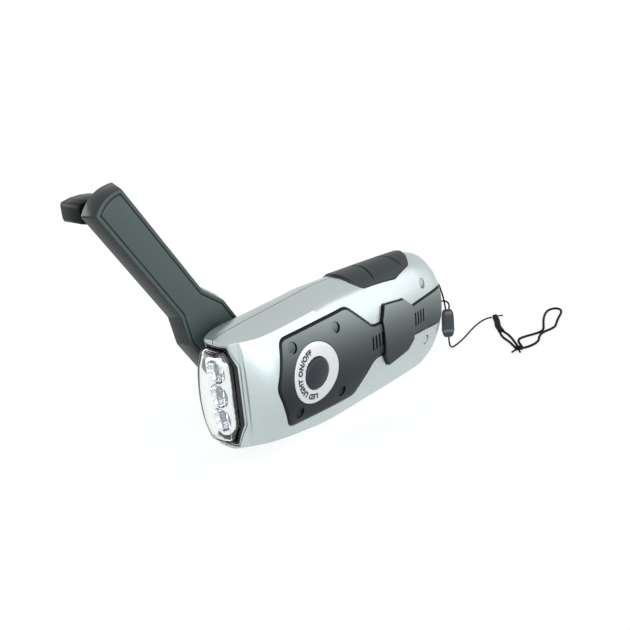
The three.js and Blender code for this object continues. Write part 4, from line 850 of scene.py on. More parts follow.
def together(first, *others):
    """Makes several pieces one object."""
    bpy.ops.object.select_all(action="DESELECT")
    for obj in (first, *others):
        obj.select_set(True)
    bpy.context.view_layer.objects.active = first
    bpy.ops.object.join()
    return first


def bead_ring(height, size, grow=0):
    turn = radians(BEAD_TURN)
    ring = []
    for i in range(BEAD_SIDES):
        angle = 2 * pi * i / BEAD_SIDES
        wide = signed_power(cos(angle), BEAD_POWER) * (BEAD_WIDTH / 2 * size + grow)
        deep = signed_power(sin(angle), BEAD_POWER) * (BEAD_THICKNESS / 2 * size + grow)
        ring.append((BEAD_PLACE[0] + wide * cos(turn) - deep * sin(turn),
                     BEAD_PLACE[1] + wide * sin(turn) + deep * cos(turn), BEAD_LOW + height * BEAD_LENGTH))
    return ring


def strap_bead():
    """A moulded lock bead: a rounded bar that narrows to its ends, with a raised band."""
    bead = skin("strap_bead_body", [bead_ring(*shares) for shares in BEAD_SHARES])
    finish_piece(bead, "bead", "torch", "bead_plastic", "strap_bead", angle=BEAD_ANGLE)
    band = skin("strap_bead_band", [bead_ring(*shares) for shares in BAND_SHARES])
    finish_piece(band, "band", "torch", "bead_plastic", angle=BEAD_ANGLE)
    return [bead, band]


def finish_cord(obj, node):
    finish_piece(obj, "cord", "torch", "cord", node, angle=CORD_ANGLE)
    return obj


def wrist_strap():
    """The strap: two eyelet strings, the bead, a string, a knot, the sleeve, two leads and the loop."""
    extras = strap_bead()
    for name in ("strap_eyelet_string_1", "strap_eyelet_string_2"):
        route = smooth_route(STRAP_ROUTES[name], STRING_SPACING)
        extras.append(finish_cord(tube(name + "_cord", route, STRING_RADIUS), name))
    for name in ("strap_lead_1", "strap_lead_2"):
        route = run_on(smooth_route(STRAP_ROUTES[name], CORD_SPACING), TIE_REACH)
        extras.append(finish_cord(tube(name + "_cord", route, LOOP_RADIUS), name))
    route = run_on(smooth_route(SLEEVE_ROUTE, CORD_SPACING), SLEEVE_TIE)
    sleeve = tube("strap_sleeve_braid", route, SLEEVE_HALF_WIDTH, SLEEVE_HALF_HEIGHT, SLEEVE_SIDES,
                  flat_frames(route), SLEEVE_POWER)
    extras.append(finish_cord(sleeve, "strap_sleeve"))
    for name, measures in KNOTS.items():
        extras.append(finish_cord(knot(name + "_cord", *measures), name))
    for name, radius, lay, with_pieces in (("strap_string", STRING_RADIUS, "hanging", extras),
                                           ("strap_wrist_loop", LOOP_RADIUS, "loose", ())):
        route = smooth_route(STRAP_ROUTES[name], CORD_SPACING)
        piece = finish_cord(tube(name + "_cord", route, radius), name)


# Lens opening and rim. The rim's shares go from the middle of its front to its side: share of the
# opening's half width, and share of how far it is cut back there
OPENING = ((8.6, 12), (6.5, 20.5))
OPENING_HALF_WIDTH = 8.6
OPENING_HALF_HEIGHT = 20.5
RIM_REACH = 64.9
RIM_SIDE_BACK = 5.3
RIM_SHARES = ((0, 0), (0.35, 0.02), (0.58, 0.11), (0.76, 0.25), (0.88, 0.49), (1, 0.85), (1.12, 1))
RIM_SPACING = 0.6
BEZEL = 56.9
SEAL_BAND = 1.2
EDGE_BAND = 0.35
SEAL_STEP = 0.5
LIP_STEP = 0.4
SEAL_BEVEL = 0.25
LIP_BEVEL = 0.15
# The lip, the seal and the lens stand in each other, so their corners widen inwards
LIP_CORNER = 0.5
BAND_CORNER = 0.6
SEAL_CORNER = 0.7
BAND_BEVEL_ANGLE = 50


def octagon(inset=0):
    upper = list(OPENING) + [(-across, up) for across, up in reversed(OPENING)]
    return offset_outline(upper + [(-across, -up) for across, up in upper], -inset)


def divided(outline, step):
    """The same outline with points no further apart than the step."""
    result = []
    for i, point in enumerate(outline):
        start, end = Vector(point), Vector(outline[(i + 1) % len(outline)])
        count = max(1, round((end - start).length / step))
        result += [tuple(start.lerp(end, k / count)) for k in range(count)]
    return result


def rim_tool(shift=0):
    """All that lies in front of the rim, which is cut back round the sides of the lens."""
    edge = [(RIM_REACH + shift - back * RIM_SIDE_BACK, out * OPENING_HALF_WIDTH) for out, back in RIM_SHARES]
    upper = [tuple(spot) for spot in smooth_route(edge, RIM_SPACING)]
    side = upper[-1][0]
    lower = [(reach, -out) for reach, out in reversed(upper[1:])]
    corners = [(side, OVERRUN), (BODY_REACH + OVERRUN, OVERRUN), (BODY_REACH + OVERRUN, -OVERRUN),
               (side, -OVERRUN)]
    return plate("rim_tool", corners + lower + upper, -OVERRUN, 2 * HALF_HEIGHT + OVERRUN, "Z")


# Panels on the button side, their heights from mid height
PANEL = ((50.2, 0), (44.5, 18.2), (6, 19.6), (-6.8, 7.5), (-37, 7.2), (-63.2, 8.8))
PANEL_PROUD = 0.25
PANEL_DEPTH = 0.8
PANEL_RADIUS = 1.6
PANEL_CORNER = 2.6
# From the panel's wall over its rolled edge: growth of the outline, and level
PANEL_BORDER = ((0, -PANEL_DEPTH), (0, -0.5), (-0.12, -0.22), (-0.45, 0.08), (-0.75, 0.2),
                (-0.9, PANEL_PROUD))
POCKET_DEPTH = 1.1
CLASP = ((-12.4, 8), (-16, 13.8), (-30.6, 11.9), (-35.2, 8))
CLASP_PROUD = 1.8
CLASP_SINK = 0.7
CLASP_BEVEL = 0.4
PAD = ((-1.8, 0), (-4.6, 8), (-8, 11.2), (-31, 10.8), (-44.5, 7.8), (-49.4, 2.4))
PAD_PROUD = 0.4
PAD_RISE = 0.7
PAD_DEPTH = 0.9
PAD_POCKET = 1.2
PAD_BEVEL = 0.25
LOBE_BEVEL = 0.4
# Place on the middle line, bow and slant of each groove, all in millimetres at the full half thickness
RIDGES = ((-17, 14, 7), (-34.5, 14, 15))
RIDGE_GROOVE = 1
RIDGE_STEPS = 12
PAD_CROWN = 0.55
VENT_STARTS = (-5.5, -38.3)
VENT_COUNT = 4
VENT_PITCH = 2.25
VENT_WIDTH = 1
VENT_HEIGHT = 6.2
VENT_CORNER = 0.3
# Under each row of vent slots lies a thin black sheet: painted shade, so that the slots read dark
SHADE_SHEET_LEVELS = (-1.05, -0.86)
SHADE_SHEET_HALF_HEIGHT = 4
SHADE_SHEET_MARGINS = (0.6, 1.2)
SHADE_SHEET_BEVEL = 0.05
BUTTON_PLACE = 30
BUTTON_RADIUS = 6.5
BUTTON_HOLE_START = 9
BUTTON_PROUD = 0.5
BUTTON_FLANGE_RADIUS = 7.5
BUTTON_FLANGE = 1.1
BUTTON_STEM_RADIUS = 2.2
BUTTON_STEM_END = 12.8
# The cap from its wall to its middle: how far in, and level from its shoulder
BUTTON_CAP = ((0, -0.5), (0.08, -0.2), (0.3, 0.02), (0.65, 0.16), (1.3, 0.33), (2.5, 0.58), (3.7, 0.75),
              (5, 0.86), (6.5, 0.9))
RING_RADIUS = 12.5
RING_PROUD = 0.4
RING_BEVEL = 0.2
# Print on the ring: each word and the angle of its middle
PRINT_WORDS = {"ring_print_switch": ("ON/OFF", 46), "ring_print_lamp": ("LED LIGHT", -42)}
PRINT_SIZE = 2.95
PRINT_SPREAD = 1.14
PRINT_BOLDNESS = 0.17
PRINT_THICKNESS = 0.04
PRINT_GAP = 0.03
PRINT_MERGE = 0.001
# Shares of the letters' size: from their feet to the ring's middle, and to their own middle
PRINT_FOOT = 0.33
PRINT_MIDDLE = 0.4
SCREWS = [(place, side * height) for place, height in ((39.7, 13.6), (15, 13.9), (-48.5, 13.55))
          for side in (1, -1)]
SCREW_SINK = 2.3
SCREW_HEAD_RADIUS = 2
SCREW_HEAD_DEPTH = 1.3
SCREW_CUP_RADIUS = 3.1
SCREW_CUP_FLOOR = 0.8
# Plug over a screw: how far in from the head's radius, and depth below the side
PLUG_PROFILE = ((2, 2), (0, 2), (0, 0.75), (0.15, 0.6), (0.6, 0.55), (2, 0.62))
EYELETS = ((6, 8), (6, -2.2))
EYELET_RADIUS = 0.75
# Steps of the grids that let flat pieces bend, and of the bodies that cut pocket floors
GRID = 1.8
PAD_GRID = 1.6
FLOOR_STEP = 2.4
CAVITY_STEP = 3
CAVITY_FINE = (3, 10)
# How squarely a face must look along an axis to count as one that faces that way
JOINT_FACING = 0.99
BROAD_FACING = 0.97
FLANGE_FACING = 0.9
ARM_FACING = 0.7
WALL_FACING = 0.3


def panel_outline(grow=0):
    outline = rounded(mirrored(PANEL), PANEL_CORNER)
    return lifted(offset_outline(outline, grow)) if grow else lifted(outline)


def clasp_outline(grow=0):
    return lifted(offset_outline(mirrored(CLASP), grow))


def pad_outline(grow=0):
    return rounded(offset_outline(mirrored(PAD), grow), PANEL_RADIUS)


def oblong(low, high):
    """A square-cornered outline between two corners."""
    return [(high[0], high[1]), (low[0], high[1]), (low[0], low[1]), (high[0], low[1])]


def side_rod(name, radius, low, high, place, height=0, steps=32):
    """A rod across the torch; its height is from mid height."""
    return rod(name, radius, low, high, "Y", (place, 0, MIDDLE + height), steps)


def duplicate(obj, name):
    twin = obj.copy()
    twin.data = obj.data.copy()
    twin.name = name
    bpy.context.collection.objects.link(twin)
    return twin


def case_blank():
    """The outside of both case halves, open at the front, flat at the foot, with the pad's pocket."""
    case = body("case_blank")
    opening = plate("opening_tool", lifted(octagon()), BEZEL - WALL, BODY_REACH + OVERRUN, "X")
    pocket = plate("pad_tool", pad_outline(GAP), MIDDLE, MIDDLE + OVERRUN, "Z")
    cut(pocket, body("pad_floor_tool", -PAD_POCKET, step=CAVITY_STEP))
    cut(case, opening, rim_tool(), pocket)
    trim_plane(case, (0, 0, 0), (0, 0, -1))
    return case


def case_cavity(name):
    return body(name, -WALL, REAR_END + WALL, BEZEL, CAVITY_STEP, CAVITY_FINE)


def screw_levels():
    """Each screw's place, height, and the level of the underside of its head."""
    for place, height in SCREWS:
        yield place, height, face_out(place, height) - SCREW_SINK - SCREW_HEAD_DEPTH


def button_half(blank):
    """Case half on the button side, with its pockets, screw cups and button hole."""
    shell = duplicate(blank, "button_side_shell_painted")
    trim_plane(shell, (0, SEAM / 2, 0), (0, -1, 0))
    cavity = case_cavity("button_cavity_tool")
    cut(cavity, together(*[
        side_rod(f"cup_{i}", SCREW_CUP_RADIUS, seat - SCREW_CUP_FLOOR, OVERRUN, place, height, steps=24)
        for i, (place, height, seat) in enumerate(screw_levels())]))
    cut(shell, cavity)
    for outline in (panel_outline(GAP), clasp_outline(GAP)):
        tool = plate("pocket_tool", outline, 0, OVERRUN)
        cut(tool, body("pocket_floor_tool", -POCKET_DEPTH, step=FLOOR_STEP))
        cut(shell, tool)
    holes = [side_rod("button_hole_tool", BUTTON_RADIUS + FIT, BUTTON_HOLE_START, OVERRUN,
                      BUTTON_PLACE, steps=48)]
    holes += [side_rod("screw_hole_tool", SCREW_HEAD_RADIUS + FIT, seat - GAP, OVERRUN, place, height,
                       steps=28)
              for place, height, seat in screw_levels()]
    for i, (out, height) in enumerate(EYELETS):
        holes.append(rod(f"eyelet_tool_{i}", EYELET_RADIUS, REAR_END - OVERRUN, REAR_END + 2 * WALL, "X",
                         (0, out, MIDDLE + height), 20))
    cut(shell, together(*holes))
    return shell


def crank_half(blank):
    """Case half on the crank side, with the recess of the folded arm and its walls."""
    shell = duplicate(blank, "crank_side_shell_painted")
    trim_plane(shell, (0, -SEAM / 2, 0), (0, 1, 0))
    cavity = case_cavity("crank_cavity_tool")
    knob_place = CRANK_PLACE - KNOB_ALONG
    tube_radius = KNOB_POCKET_RADIUS + KNOB_POCKET_WALL
    cut(cavity,
        plate("recess_wall_tool", recess_outline(RECESS_WALL), -OVERRUN, RECESS_WALL - RECESS_FLOOR),
        side_rod("well_wall_tool", WELL_RADIUS + RECESS_WALL, -OVERRUN, WELL_FLOOR + RECESS_WALL,
                 CRANK_PLACE, steps=64),
        side_rod("knob_wall_tool", tube_radius, -OVERRUN, OVERRUN, knob_place, steps=64))
    cut(shell, cavity)
    fuse(shell, side_rod("knob_tube", tube_radius, KNOB_TUBE_START, KNOB_POCKET_FLOOR + KNOB_POCKET_WALL,
                         knob_place, steps=64))
    cut(shell,
        plate("recess_tool", rounded(recess_outline(), RECESS_CORNER), -OVERRUN, -RECESS_FLOOR),
        side_rod("well_tool", WELL_RADIUS, -OVERRUN, WELL_FLOOR, CRANK_PLACE, steps=64),
        side_rod("knob_pocket_tool", KNOB_POCKET_RADIUS, -OVERRUN, KNOB_POCKET_FLOOR, knob_place, steps=64),
        side_rod("shaft_hole_tool", SHAFT_HOLE_RADIUS, -OVERRUN, OVERRUN, CRANK_PLACE))
    return shell


def case_halves():
    """The spray doesn't reach into the joint, so its faces show the moulding's black."""
    blank = case_blank()
    for shell, node in ((button_half(blank), "button_side_shell"), (crank_half(blank), "crank_side_shell")):
        finish_piece(shell, "silver", "torch", "silver_case", node)
        blacken(shell, [face.index for face in shell.data.polygons
                        if abs(face.normal.y) > JOINT_FACING and abs(face.center.y) < mm(SEAM)])
    bpy.data.objects.remove(blank, do_unlink=True)


def wall_faces(obj, facing=BROAD_FACING):
    """Faces of a flat piece that aren't its broad sides."""
    return [face.index for face in obj.data.polygons if abs(face.normal.y) < facing]


def vent_tools():
    tools = []
    for start in VENT_STARTS:
        for i in range(VENT_COUNT):
            middle = start - i * VENT_PITCH
            outline = oblong((middle - VENT_WIDTH / 2, MIDDLE - VENT_HEIGHT / 2),
                             (middle + VENT_WIDTH / 2, MIDDLE + VENT_HEIGHT / 2))
            tools.append(plate("vent_tool", rounded(outline, VENT_CORNER, 3), -OVERRUN, OVERRUN))
    return together(*tools)


def inlay_panel():
    """The charcoal inlay with rolled edges, vent slots, screw holes and the seat of the ring."""
    panel = skin("inlay_panel_painted", [[(along, level, up) for along, up in panel_outline(grow)]
                                         for grow, level in PANEL_BORDER])
    cut(panel, side_rod("ring_tool", RING_RADIUS + FIT, -OVERRUN, OVERRUN, BUTTON_PLACE, steps=72))
    cut(panel, vent_tools())
    cut(panel, together(*[side_rod("hole_tool", SCREW_HEAD_RADIUS + FIT, -OVERRUN, OVERRUN, *screw, steps=28)
                          for screw in SCREWS]))
    slice_grid(panel, GRID)
    walls = wall_faces(panel)
    wrap_side(panel)
    finish_piece(panel, "inlay", "torch", "inlay", "inlay_panel")
    # The walls and rolled edges are drawn black: painted shade of the gap round the inlay
    blacken(panel, walls)
    # A black sheet under each row of slots is painted shade in the slots
    for i, start in enumerate(VENT_STARTS):
        outline = oblong((start - VENT_COUNT * VENT_PITCH + SHADE_SHEET_MARGINS[0], MIDDLE - SHADE_SHEET_HALF_HEIGHT),
                         (start + SHADE_SHEET_MARGINS[1], MIDDLE + SHADE_SHEET_HALF_HEIGHT))
        shade_sheet = plate(f"vent_shade_sheet_{i + 1}", outline, *SHADE_SHEET_LEVELS)
        bevel(shade_sheet, SHADE_SHEET_BEVEL, 1)
        slice_grid(shade_sheet, GRID)
        wrap_side(shade_sheet)
        finish_piece(shade_sheet, "black", "torch", "black_plastic")


def screw_plugs():
    """Moulded plugs that cover the sunk screws: charcoal in the inlay, silver in the case."""
    for i, (place, height) in enumerate(SCREWS):
        out = face_out(place, height)
        profile = [(SCREW_HEAD_RADIUS - inset, out - depth) for inset, depth in PLUG_PROFILE]
        plug = turned(f"screw_plug_{i + 1}", profile, "Y", (place, 0, MIDDLE + height), 32)
        look, slot = ("inlay", "inlay") if place > 0 else ("silver", "silver_case")
        finish_piece(plug, look, "torch", slot)


def ring_words(name, words, middle_angle):
    """Dark print bent round the ring; letters stand with their feet towards the button."""
    bpy.ops.object.text_add(location=(0, 0, 0))
    text = bpy.context.object
    text.data.body = words
    text.data.size = mm(PRINT_SIZE)
    text.data.align_x = "CENTER"
    text.data.extrude = mm(PRINT_THICKNESS)
    text.data.space_character = PRINT_SPREAD
    text.data.offset = mm(PRINT_BOLDNESS)
    bpy.ops.object.convert(target="MESH")
    text.name = name
    base = (RING_RADIUS + BUTTON_RADIUS) / 2 - PRINT_SIZE * PRINT_FOOT
    for vertex in text.data.vertices:
        along, up, out = (value * METRE for value in vertex.co)
        radius = base + up
        angle = radians(middle_angle) + along / (base + PRINT_SIZE * PRINT_MIDDLE)
        x = BUTTON_PLACE + radius * cos(angle)
        height = radius * sin(angle)
        vertex.co = mm_point(x, face_out(x, height) + RING_PROUD + PRINT_GAP + out, MIDDLE + height)
    heal(text, PRINT_MERGE)
    finish_piece(text, "ink", "torch", "black_plastic", angle=0)


def button_ring():
    """The silver ring, flush on the inlay, with printed words round its front."""
    ring = side_rod("button_ring_painted", RING_RADIUS, -PANEL_DEPTH, RING_PROUD, BUTTON_PLACE, steps=96)
    cut(ring, side_rod("ring_hole_tool", BUTTON_RADIUS + FIT, -OVERRUN, OVERRUN, BUTTON_PLACE, steps=96))
    bevel(ring, RING_BEVEL, 3)
    slice_grid(ring, GRID)
    wrap_side(ring)
    finish_piece(ring, "ring", "torch", "silver_case", "button_ring", angle=50)
    for name, (words, middle_angle) in PRINT_WORDS.items():
        ring_words(name, words, middle_angle)


def power_button():
    """A soft domed button with a rolled edge; its flange and stem lie inside."""
    high = face_out(BUTTON_PLACE, BUTTON_RADIUS + 1) - WALL - GAP
    cap = face_out(BUTTON_PLACE, 0) + BUTTON_PROUD
    profile = [(0, BUTTON_STEM_END), (BUTTON_STEM_RADIUS, BUTTON_STEM_END),
               (BUTTON_STEM_RADIUS, high - BUTTON_FLANGE), (BUTTON_FLANGE_RADIUS, high - BUTTON_FLANGE),
               (BUTTON_FLANGE_RADIUS, high), (BUTTON_RADIUS, high)]
    profile += [(BUTTON_RADIUS - inset, cap + rise) for inset, rise in BUTTON_CAP]
    button = turned("power_button_cap", profile, "Y", (BUTTON_PLACE, 0, MIDDLE), 64)
    finish_piece(button, "button", "button", "button", "power_button", angle=40)


def clasp():
    """A saddle over the neck of the inlay, chamfered all round."""
    saddle = plate("clasp_painted", clasp_outline(), -CLASP_SINK, CLASP_PROUD)
    bevel(saddle, CLASP_BEVEL, 3)
    cut(saddle, plate("neck_tool", panel_outline(GAP), -OVERRUN, PANEL_PROUD + GAP))
    slice_grid(saddle, GRID)
    walls = wall_faces(saddle, WALL_FACING)
    wrap_side(saddle)
    finish_piece(saddle, "inlay", "torch", "inlay", "clasp")
    # The walls are drawn black: painted shade round the raised saddle
    blacken(saddle, walls)


def ridge_tool(place, bow, slant):
    points = []
    for i in range(2 * RIDGE_STEPS + 1):
        share = i / RIDGE_STEPS - 1
        points.append((place + bow * share ** 2 - slant * share, share * HALF_THICKNESS))
    back = [(along - RIDGE_GROOVE, across) for along, across in reversed(points)]
    return plate("ridge_tool", points + back, -OVERRUN, OVERRUN, "Z")


def grip_pad():
    """Rubber pad: a thin base and three crowned lobes between two slanting, bowed grooves."""
    base = plate("grip_pad_base", pad_outline(), -PAD_DEPTH, PAD_PROUD, "Z")
    bevel(base, PAD_BEVEL, 3)
    slice_grid(base, PAD_GRID, (0, 1))
    wrap_top(base)
    lobes = plate("grip_pad_lobes", pad_outline(-RIDGE_GROOVE), -PAD_DEPTH / 2, PAD_PROUD + PAD_RISE, "Z")
    cut(lobes, *[ridge_tool(*ridge) for ridge in RIDGES])
    bevel(lobes, LOBE_BEVEL, 4)
    slice_grid(lobes, PAD_GRID, (0, 1))
    for vertex in lobes.data.vertices:
        if vertex.co.z > 0:
            vertex.co.z -= mm(PAD_CROWN) * (vertex.co.y / mm(PAD[2][1])) ** 2
    wrap_top(lobes)
    finish_piece(base, "pad", "torch", "grip", "grip_pad")
    finish_piece(lobes, "pad", "torch", "grip")


# Front: lens, seal, reflector and diodes
LENS_REACH = 71
LENS_CROWN = 3.4
LENS_SIDE_FALL = 2
LENS_EDGE = 1.2
LENS_WALL = 1.3
LENS_CORNER = 0.8
LENS_SPACING = 1.5
LENS_EDGE_POWER = 1.6
# Steps of the rolled edge, and shares of the face towards its middle
LENS_EDGE_STEPS = (0.4, 0.75)
LENS_SHARES = (1, 0.9, 0.78, 0.64, 0.5, 0.36, 0.22, 0.1)
FLANGE_BACK = 55
FLANGE_FRONT = 56.6
FLANGE_GROW = 0.9
FLANGE_HALF_HEIGHT = 18.2
REFLECTOR_BACK = 53.1
REFLECTOR_FRONT = 65.4
REFLECTOR_INSET = 3.4
REFLECTOR_ARCH = 12.2
REFLECTOR_REACH = 16
REFLECTOR_BEVEL = 0.4
# How near a face must lie to the flange's front to be masked
MASK_REACH = 0.1
ARCH_STEPS = 16
CUP_MOUTH = 4.75
CUP_DEPTH = 7.4
CUP_SEAT = 1.3
CUP_RINGS = 5
CUP_SIDES = 18
CUP_POWER = 0.6
CUP_OVERRUN = 3
LED_PITCH = 9.8
LED_RADIUS = 2.5
LED_FLANGE = 2.9
LED_FLANGE_DEPTH = 1
LED_FLANGE_EDGE = 0.1
LED_LENGTH = 8.6
DOME_STEPS = 10
# Mirror cup and lit face inside a diode: radius, and level from where its dome starts
LED_CUP = ((0, -2.4), (0.5, -2.4), (1.25, -0.5), (1.15, -0.5), (0.7, -1.3), (0, -1.35))
LED_CHIP = ((0, -1.3), (0.72, -1.28), (0.95, -0.85), (0.5, -0.65), (0, -0.6))


def front_plate(name, inset, corner, low, high):
    """A plate square to the reach, with the outline of the opening set in."""
    return plate(name, lifted(rounded(octagon(inset), corner, 3)), low, high, "X")


def front_flange(name, inset, low, high):
    return plate(name, [(out, MIDDLE + max(-FLANGE_HALF_HEIGHT, min(FLANGE_HALF_HEIGHT, up)))
                        for out, up in octagon(inset)], low, high, "X")


def lens_solid(name, inset, sink, back):
    side = divided(rounded(octagon(inset), LENS_CORNER, 3), LENS_SPACING)
    scale_x = (OPENING_HALF_WIDTH - inset - LENS_EDGE) / (OPENING_HALF_WIDTH - inset)
    scale_z = (OPENING_HALF_HEIGHT - inset - LENS_EDGE) / (OPENING_HALF_HEIGHT - inset)

    def level(out, height, drop):
        fall = LENS_SIDE_FALL * (out / OPENING_HALF_WIDTH) ** 2
        crown = LENS_CROWN * (height / OPENING_HALF_HEIGHT) ** 2
        return (LENS_REACH - crown - fall - sink - drop, out, MIDDLE + height)

    rings = [[(back, out, MIDDLE + height) for out, height in side]]
    rings.append([level(out, height, LENS_EDGE) for out, height in side])
    for part in LENS_EDGE_STEPS:
        ease_x, ease_z = 1 - (1 - scale_x) * part, 1 - (1 - scale_z) * part
        drop = LENS_EDGE * (1 - part) ** LENS_EDGE_POWER
        rings.append([level(out * ease_x, height * ease_z, drop) for out, height in side])
    for share in LENS_SHARES:
        rings.append([level(out * scale_x * share, height * scale_z * share, 0) for out, height in side])
    return skin(name, rings)


def front_lens():
    inset = SEAL_BAND + 2 * GAP
    lens = lens_solid("lens_clear", inset, 0, FLANGE_BACK)
    hollow = lens_solid("lens_hollow_tool", inset + LENS_WALL, LENS_WALL, FLANGE_BACK - OVERRUN)
    fuse(lens, front_flange("lens_flange", -FLANGE_GROW, FLANGE_BACK, FLANGE_FRONT))
    cut(lens, hollow)
    finish_piece(lens, "clear", "torch", "clear_plastic", "lens", angle=28)


def front_band(name, outer, inner, shift, edge):
    """A band round the lens between two outlines, each an inset and a corner, cut back like the rim."""
    band = front_plate(name, *outer, BEZEL, BODY_REACH)
    cut(band, front_plate("hole_tool", *inner, BEZEL - OVERRUN, BODY_REACH + OVERRUN), rim_tool(shift))
    bevel(band, edge, 2, BAND_BEVEL_ANGLE)
    return band


def lens_seal():
    """The rubber seal, and the thin painted lip of the case that stands round it."""
    edge = (GAP + EDGE_BAND, BAND_CORNER)
    seal = front_band("lens_seal_rubber", edge, (GAP + SEAL_BAND, SEAL_CORNER), -SEAL_STEP, SEAL_BEVEL)
    finish_piece(seal, "seal", "torch", "seal", "lens_seal")
    lip = front_band("lens_lip_painted", (GAP, LIP_CORNER), edge, -LIP_STEP, LIP_BEVEL)
    finish_piece(lip, "silver", "torch", "silver_case", angle=30)


def cup_tool(height):
    """The bowl of one reflector cup, open to the front, with the diode's hole behind it."""
    back = REFLECTOR_FRONT - CUP_DEPTH
    throat = LED_RADIUS + GAP
    start, seat = REFLECTOR_BACK - 1, REFLECTOR_BACK + CUP_SEAT
    wide = LED_FLANGE + GAP
    profile = [(0, start), (wide, start), (wide, seat), (throat, seat), (throat, back)]
    for i in range(1, CUP_RINGS + 1):
        share = i / CUP_RINGS
        profile.append((throat + (CUP_MOUTH - throat) * share ** CUP_POWER, back + CUP_DEPTH * share))
    end = REFLECTOR_FRONT + CUP_OVERRUN
    profile += [(CUP_MOUTH, end), (0, end)]
    return turned("cup_tool", profile, "X", (0, 0, MIDDLE + height), CUP_SIDES)


def reflector():
    """Mirror-plated moulding with three faceted bowls and a stepped border."""
    half = OPENING_HALF_WIDTH - REFLECTOR_INSET
    arch = [(half * cos(pi * i / ARCH_STEPS),
             REFLECTOR_ARCH + (REFLECTOR_REACH - REFLECTOR_ARCH) * sin(pi * i / ARCH_STEPS))
            for i in range(ARCH_STEPS + 1)]
    outline = arch + [(-out, -up) for out, up in arch]
    solid = plate("reflector_plated", lifted(outline), REFLECTOR_BACK, REFLECTOR_FRONT, "X")
    bevel(solid, REFLECTOR_BEVEL)
    flange_front = FLANGE_BACK - GAP
    fuse(solid, front_flange("reflector_flange", GAP - FLANGE_GROW, REFLECTOR_BACK, flange_front))
    cut(solid, *[cup_tool(place * LED_PITCH) for place in (1, 0, -1)])
    finish_piece(solid, "chrome", "torch", "chrome_plastic", "reflector", angle=8)
    # The mask of the plating covers the flange
    blacken(solid, [face.index for face in solid.data.polygons if face.normal.x > FLANGE_FACING
                    and abs(face.center.x - mm(flange_front)) < mm(MASK_REACH)])


def diodes():
    """Clear diodes, each with its little mirror cup and lit face inside."""
    start = REFLECTOR_BACK
    dome = start + LED_LENGTH - LED_RADIUS
    flange = start + LED_FLANGE_DEPTH
    profile = [(0, start), (LED_FLANGE, start), (LED_FLANGE, flange - LED_FLANGE_EDGE),
               (LED_FLANGE - LED_FLANGE_EDGE, flange), (LED_RADIUS, flange)]
    for step in range(DOME_STEPS + 1):
        angle = pi / 2 * step / DOME_STEPS
        profile.append((LED_RADIUS * cos(angle), dome + LED_RADIUS * sin(angle)))
    for i, place in enumerate((1, 0, -1)):
        middle = (0, 0, MIDDLE + place * LED_PITCH)
        epoxy = turned(f"led_{i + 1}_epoxy", profile, "X", middle, 40)
        finish_piece(epoxy, "diode", "torch", "diode", f"led_{i + 1}", angle=40)
        for name, look, slot, inside in (("cup", "steel", "steel", LED_CUP),
                                         ("phosphor", "phosphor", "diode", LED_CHIP)):
            levels = [(radius, dome + level) for radius, level in inside]
            finish_piece(turned(f"led_{i + 1}_{name}", levels, "X", middle, 24), look, "torch", slot)


# Crank, in its own frame: X along the arm, Y across the torch, Z up
CRANK_PLACE = 37
CRANK_ANGLE = 57.5
RECESS_FLOOR = 10.7
RECESS_CLEAR = 0.7
RECESS_WALL = 1.7
RECESS_CORNER = 1.2
HUB_RADIUS = 13.6
HUB_THICKNESS = 2.4
HUB_TOP = 10.6
# The hub's rim and the ring groove beside it: how far in from its radius, and depth from its top
HUB_RIM = ((0, 0.6), (0.2, 0.2), (0.6, 0), (1.8, 0), (2, 0.15), (2.3, 0.15), (2.5, 0), (HUB_RADIUS, 0))
HUB_FOOT_EDGE = 0.4
HUB_SOCKET_RADIUS = 2.75
HUB_SOCKET_DEPTH = 1.6
WELL_RADIUS = 14.1
WELL_FLOOR = -7.9
SHAFT_HOLE_RADIUS = 4.45
HINGE_OUT = 19
KNUCKLE_RADIUS = 3.1
KNUCKLE_STEPS = 20
POST_HALF_WIDTH = 4
POST_SINK = 0.3
POST_BEVEL = 0.35
HINGE_HOLE_RADIUS = 1.5
ARM_LENGTH = 92.6
ARM_FACE_OUT = 20
ARM_THICKNESS = 7
ARM_HALF_WIDTH = 7.15
ARM_HUB_HALF_WIDTH = 11.65
ARM_DRAFT = 1.75
ARM_TIP_CROWN = 1.9
ARM_TIP_STEPS = 8
ARM_FLARE_START = 25
ARM_FLARE_END = 36.4
ARM_CORNER = 0.6
ARM_LINE = 1.5
ARM_LINE_WIDTH = 0.5
ARM_LINE_DEPTH = 0.4
ARM_LINE_INNER = ARM_LINE + ARM_LINE_WIDTH
# The arm's section from inside the fine line to its back: growth of the outline, and depth
ARM_SECTION = (
    (-ARM_LINE_INNER - 0.2, 0), (-ARM_LINE_INNER - 0.05, 0.05), (-ARM_LINE_INNER, ARM_LINE_DEPTH),
    (-ARM_LINE, ARM_LINE_DEPTH), (0.1 - ARM_LINE, 0.05), (0.25 - ARM_LINE, 0), (-0.5, 0), (-0.18, 0.1),
    (0, 0.4), (ARM_DRAFT - 0.15, ARM_THICKNESS - 0.5), (ARM_DRAFT - 0.25, ARM_THICKNESS - 0.15),
    (ARM_DRAFT - 0.6, ARM_THICKNESS),
)
ARM_SLOT_LENGTH = 3.8
ARM_SLOT_HALF = 4.4
LUG_OUTER = 11.2
